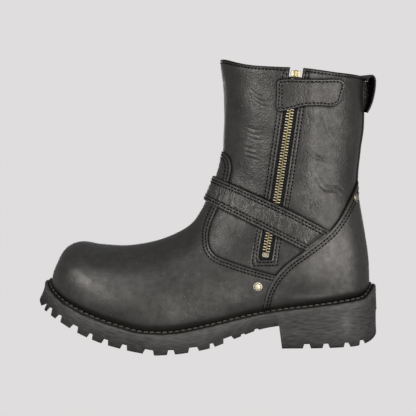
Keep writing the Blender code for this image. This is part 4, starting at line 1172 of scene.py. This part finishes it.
# %% Zip
TAPE_IN, TAPE_OUT, TAPE_CLEAR, TAPE_LEVELS = -1.6, -0.6, 0.15, (0.0, 0.4)
TAPE_BELOW = 9.6  # the tape ends this far below the collar's edge
TOOTH_PITCH, LEG_SIZE, LEG_AT, HEAD_SIZE, HEAD_AT = 2.5, (2.2, 1.0, 1.2), 2.1, (1.7, 1.15, 1.3), 0.4
TEETH_TOP, TEETH_FOOT, TEETH_MARGIN, TEETH_LIFT, TOOTH_AHEAD = 240.6, 88.6, 8.0, TAPE_OUT + 0.1, 1.0
METAL_CRISP, BESIDE, CORNER = 30.0, -200.0, 0.4
STOP_AT, STOP_TONE, SLIDER_AT, ZIP_LEAN = (53.2, 85.4), -0.45, (81.9, 244.7), (0.14, 0, 1)
STOP_BARS = [  # across, tall, thick, trim, aside, lift
    (6.2, 4.6, 1.5, 0.4, 0.0, -0.3), (1.0, 3.6, 0.5, 0.15, -1.5, 1.0), (1.0, 3.6, 0.5, 0.15, 1.5, 1.0)]
SLIDER_BARS = [
    (9.0, 5.4, 1.0, 0.4, 0.0, -0.4), (9.0, 5.4, 0.9, 0.4, 0.0, 1.7), (2.6, 5.0, 1.3, 0.4, 0.0, 0.5),
    (3.4, 6.0, 1.4, 0.6, 0.0, 2.4)]
TREE = BVHTree.FromPolygons(SKIN.tolist(), SKIN_FACES.tolist())


def on_skin(x, z):
    """Point and outward normal of the inner side at x and z."""
    spot, normal, _, _ = TREE.ray_cast(Vector((x, BESIDE, z)), Vector((0, 1, 0)))
    return spot, normal if normal.y < 0 else -normal


def tube(rings):
    """Rings of points joined into a body with closed ends."""
    count, size = len(rings), len(rings[0])
    ends = [tuple(range(size))[::-1], tuple(range((count - 1) * size, count * size))]
    return np.vstack(rings), ring_faces(count, size) + ends


def rounded_bar(across, tall, thick, trim=0.2):
    """Bar with trimmed edges: points and faces, centred across and upwards, standing on its base."""
    rings = []
    for inset, z in ((trim, 0.0), (0.0, trim), (0.0, thick - trim), (trim, thick)):
        x, y = across / 2 - inset, tall / 2 - inset
        cut = min(x, y) * CORNER
        rings.append([(x, -y + cut, z), (x, y - cut, z), (x - cut, y, z), (cut - x, y, z),
                      (-x, y - cut, z), (-x, cut - y, z), (cut - x, -y, z), (x - cut, -y, z)])
    return tube(rings)


def placed(points, spot, normal, up):
    """Points with their own Z along the normal and their Y along up."""
    normal = np.asarray(normal) / np.linalg.norm(normal)
    right = np.cross(up, normal)
    right /= np.linalg.norm(right)
    return np.asarray(spot) + points @ np.array([right, np.cross(normal, right), normal])


def gather(parts):
    """Joins lists of points and faces into one mesh."""
    points, faces, base = [], [], 0
    for p, f in parts:
        points.append(p)
        faces += [tuple(i + base for i in face) for face in f]
        base += len(p)
    return np.vstack(points), faces


def fitting(bars, at):
    """Bars of one zip fitting, set on the skin along the zip."""
    spot, normal = on_skin(*at)
    made = []
    for *size, aside, lift in bars:
        points, faces = rounded_bar(*size)
        made.append((placed(points + (aside, 0, lift), spot, normal, ZIP_LEAN), faces))
    return made


def run_along(line):
    """Length run at each point of a line."""
    return np.append(0, np.cumsum(np.linalg.norm(np.diff(line, axis=0), axis=1)))


points, faces = cut_skin((-SLOT - TAPE_CLEAR, TAPE_LEVELS), (COLLAR - TAPE_BELOW, TAPE_LEVELS))
piece("zip_tape_cloth", *shell(points, faces, TAPE_OUT, TAPE_IN), [TAPE_CLOTH], ["zip_tape"], "zip_cloth")

leg, head = rounded_bar(*LEG_SIZE), rounded_bar(*HEAD_SIZE)
heights = zip_line[:, 1]
middle = zip_line[(heights > TEETH_FOOT - TEETH_MARGIN) & (heights < TEETH_TOP + TEETH_MARGIN)]
run = run_along(middle)
teeth = []
for k, at in enumerate(np.arange(run[0], run[-1], TOOTH_PITCH / 2)):
    here, ahead = ([np.interp(length, run, middle[:, i]) for i in (0, 1)]
                   for length in (at, at + TOOTH_AHEAD))
    if TEETH_FOOT < here[1] < TEETH_TOP:
        spot, normal = on_skin(*here)
        up = np.asarray(on_skin(*ahead)[0] - spot)
        side = -1 if k % 2 else 1
        for (points, faces), aside in ((leg, LEG_AT), (head, HEAD_AT)):
            teeth.append((placed(points + (side * aside, 0.0, TEETH_LIFT), spot, normal, up), faces))
bar_faces = len(leg[1])
heads = [i for i in range(len(teeth) * bar_faces) if i // bar_faces % 2]
piece("zip_teeth", *gather(teeth), [NICKEL, BRASS], ["zip_chain"], "brass", second=heads, crisp=METAL_CRISP)

stop_points, stop_faces = gather(fitting(STOP_BARS, STOP_AT))
piece("zip_stop_clip", stop_points, stop_faces, [NICKEL], ["zip_stop"], "brass", crisp=METAL_CRISP,
      tone=np.full(len(stop_points), STOP_TONE))
piece("zip_slider_body", *gather(fitting(SLIDER_BARS, SLIDER_AT)), [NICKEL, BRASS], ["zip_slider"], "brass",
      crisp=METAL_CRISP, second=range(3 * bar_faces, 4 * bar_faces))  # its last bar is brass
print("teeth:", len(teeth) // 2)

# %% [markdown]
# ## Pull loop
# A strip of leather is folded over and sewn to the back of the collar. It is swept along its side-view
# line with a rounded cross-section, and twisted a little, so that its far edge leans on the shaft as a
# soft strip does.

# %% Pull loop
LOOP_LINE = [
    (148.4, 237.6), (150.4, 240.8), (153.2, 242.4), (155.4, 240.2), (155.7, 234.6), (154.8, 227.4),
    (152.9, 219.8), (150.4, 213.6), (148.0, 209.4)]
LOOP_HALF, LOOP_HALF_THICK, LOOP_ROUND, LOOP_SIDES = 13.0, 1.1, 0.9, 28
LOOP_STEPS, LOOP_TWIST, LOOP_BULGE, LOOP_TONES = 8, 8.0, 0.7, (-0.3, -0.85)  # tones of the outer and inner face: both darker, the inner one with painted shade in the loop's hollow

loop_mid = through(LOOP_LINE, LOOP_STEPS)
along = unit(np.gradient(loop_mid, axis=0))
square = np.column_stack([-along[:, 1], along[:, 0]])
turn = np.linspace(0, 2 * math.pi, LOOP_SIDES, endpoint=False)
circle = np.column_stack([np.cos(turn), np.sin(turn)])
corner = np.sign(circle) * (LOOP_HALF_THICK - LOOP_ROUND, LOOP_HALF - LOOP_ROUND)
out, across = (corner + LOOP_ROUND * circle).T
far = (across + LOOP_HALF) / (2 * LOOP_HALF)
bulge = np.sin(math.pi * np.linspace(0, 1, len(loop_mid)) ** LOOP_BULGE)
loop_rings = [np.column_stack([p[0] + s[0] * out - LOOP_TWIST * far * up, across, p[1] + s[1] * out])
              for p, s, up in zip(loop_mid, square, bulge)]
loop_tone = np.tile(np.where(out > 0, *LOOP_TONES), len(loop_mid))
piece("pull_loop_strip", *tube(loop_rings), [OILED_HIDE], ["pull_loop"], "leather", tone=loop_tone)

# %% [markdown]
# ## Rivets
# Two brass rivets hold the seams. Each head is turned: a rim, a groove with small marks, and a flat dome
# in the middle.

# %% Rivets
RIVETS = {"rivet_side": (45.6, 57.4, 1.2, 0.0), "rivet_back": (134.4, 133.2, 2.5, -0.35)}  # x, z, lift, tone
RIVET_SIDES, RIVET_MARKS, MARK_SIDES, MARK_RADII = 48, 8, 2, (2.4, 3.2)
RIVET_TURN = [  # radius, height, tone
    (4.0, -0.4, 0.0), (4.0, 0.7, -0.3), (3.8, 0.95, 0.0), (3.3, 1.1, 0.0), (3.1, 0.8, -0.5),
    (2.5, 0.8, -0.5), (2.3, 1.1, 0.0), (1.2, 1.25, 0.0), (0.4, 1.28, 0.0)]
MARK_DEPTH, MARK_TONE = 0.4, -0.4

for name, (x, z, lift, dull) in RIVETS.items():
    turn = np.linspace(0, 2 * math.pi, RIVET_SIDES, endpoint=False)
    marked = np.arange(RIVET_SIDES) % (RIVET_SIDES // RIVET_MARKS) < MARK_SIDES
    rings, tones = [], []
    for radius, high, tone in RIVET_TURN:
        cut = marked * (MARK_RADII[0] < radius < MARK_RADII[1])
        rings.append(np.column_stack([radius * np.cos(turn), radius * np.sin(turn), high - MARK_DEPTH * cut]))
        tones.append(tone + dull + MARK_TONE * cut)
    points, faces = tube(rings)
    spot, normal = on_skin(x, z)
    points = placed(points, spot + normal * lift, normal, (0, 0, 1))
    piece(name + "_cap", points, faces, [NICKEL], [name], "brass", crisp=METAL_CRISP,
          tone=np.concatenate(tones))

# %% [markdown]
# ## Stitches
# A seam is a row of short stitches a fixed distance from an edge. The row's line is where a panel's field
# has that distance, so it stays parallel to the edge all round. Each stitch is a small bead of thread,
# and all the beads of the boot are one joined mesh.

# %% Stitches
STITCH_PITCH, STITCH_LONG, STITCH_WIDE = 3.3, 2.3, 1.2
FLAP_END_ROWS, FLAP_END_X = (4.6,), 71.5
BEAD_RINGS = [  # share along, width
    (-0.5, 0.3), (-0.38, 0.85), (-0.15, 1.0), (0.15, 1.0), (0.38, 0.85), (0.5, 0.3)]
BEAD_SIDES, SHORTEST = 6, 3
HIDE_MARGIN, COLLAR_CLEAR = 1.0, 3.5
SUNK = GROOVE - 0.1  # stitches lie in their grooves


def contour(field, level):
    """Lines on the skin where a field has a level, each as rows of point and normal."""
    start = len(SKIN)
    points, faces = score(np.column_stack([SKIN, NORMAL, field]), SKIN_FACES, 6, level)
    edges = edges_of(faces)
    edges = np.unique(np.sort(edges[(edges >= start).all(axis=1)], axis=1), axis=0)
    links = {}
    for a, b in edges.tolist():
        links.setdefault(a, []).append(b)
        links.setdefault(b, []).append(a)
    lines, done = [], set()
    for first in sorted(links, key=lambda i: (len(links[i]), i)):
        line, here = [], first
        while here is not None and here not in done:
            done.add(here)
            line.append(here)
            here = next((i for i in links[here] if i not in done), None)
        if len(line) > SHORTEST:
            lines.append(points[line, :6])
    return lines


def bead():
    turn = np.linspace(0, 2 * math.pi, BEAD_SIDES, endpoint=False)
    x, z = 0.5 * np.cos(turn), 0.5 * np.sin(turn)
    return tube([np.column_stack([wide * x, np.full(BEAD_SIDES, share), wide * z])
                 for share, wide in BEAD_RINGS])


BEAD_POINTS, BEAD_FACES = bead()


def sew(lines, pitch, long, wide, lift, hidden=None):
    """Beads of thread along lines of point and normal, but for those that another piece hides."""
    rows = []
    for line in lines:
        run = run_along(line[:, :3])
        at = (np.arange(int(run[-1] / pitch)) + 0.5) * pitch
        here, ahead, behind = (np.column_stack([np.interp(at + shift, run, line[:, i]) for i in range(6)])
                               for shift in (0.0, long / 2, -long / 2))
        rows.append(np.column_stack([here, ahead[:, :3] - behind[:, :3]]))
    rows = np.vstack(rows)
    if hidden is not None:
        rows = rows[~hidden(rows[:, :3])]
    high = lift(rows[:, :3]) if callable(lift) else np.full(len(rows), lift)
    size = BEAD_POINTS * (wide, long, wide)
    return [(placed(size, row[:3] + row[3:6] * up, row[3:6], row[6:]), BEAD_FACES)
            for row, up in zip(rows, high)]


def over_counter(p):
    return counter_field(p) > -HIDE_MARGIN


def over_stay(p):
    return stay_field(p) > -HIDE_MARGIN


def under_strap(p):
    return (strap_field(p) > -HIDE_MARGIN) & (counter_field(p) < HIDE_MARGIN)


def under_panels(p):
    panels = np.maximum.reduce([flap_field(p), counter_field(p), vamp_field(p)])
    return under_strap(p) | (panels > -HIDE_MARGIN)


def seam(field, rows, lift, hidden=None):
    return [bead for row in rows
            for bead in sew(contour(field, row), STITCH_PITCH, STITCH_LONG, STITCH_WIDE, lift, hidden)]


seams = seam(VAMP, VAMP_ROWS, VAMP_OUT - SUNK, lambda p: under_strap(p) | over_counter(p))
seams += seam(COUNTER, COUNTER_ROWS, COUNTER_OUT - SUNK, over_stay)
seams += seam(STRAP, STRAP_ROWS, lambda p: thin_under_counter(p, STRAP_OUT - SUNK), over_counter)
seams += seam(FLAP, FLAP_ROWS, FLAP_OUT - SUNK)
seams += seam(FLAP, FLAP_END_ROWS, FLAP_OUT - SUNK, lambda p: p[:, 0] > FLAP_END_X)
seams += seam(SLOT, ZIP_ROWS, -SUNK, lambda p: under_panels(p) | (collar_field(p) < COLLAR_CLEAR))
seams += seam(COLLAR, COLLAR_ROWS, -SUNK, lambda p: (slot_field(p) < HIDE_MARGIN) | over_stay(p))
piece("leather_stitches", *gather(seams), [BLACK_THREAD], [], "zip_cloth")
print("stitches:", len(seams))

# %% [markdown]
# ## Welt stitches
# The thick thread that holds the welt shows as long stitches on its slope, all the way round.

# %% Welt stitches
WELT_STITCH_INSET, WELT_STITCH_UP, WELT_STITCH_LIFT = 4.6, 1.4, 0.05
WELT_PITCH, WELT_LONG, WELT_WIDE = 5.6, 4.2, 1.2

welt_line = ring(WELT_STITCH_INSET, rim(WALL_X) + WELT_STITCH_UP)
welt_in = outline(WELT_STITCH_INSET + 1.0) - outline(WELT_STITCH_INSET)
welt_row = np.column_stack([welt_line, unit(np.column_stack([-welt_in, np.ones(len(welt_in))]))])
welt_row = np.vstack([welt_row, welt_row[:1]])
welt_beads = sew([welt_row], WELT_PITCH, WELT_LONG, WELT_WIDE, WELT_STITCH_LIFT)
piece("welt_stitches", *gather(welt_beads), [WELT_THREAD], [], "zip_cloth")
print("welt stitches:", len(welt_beads))
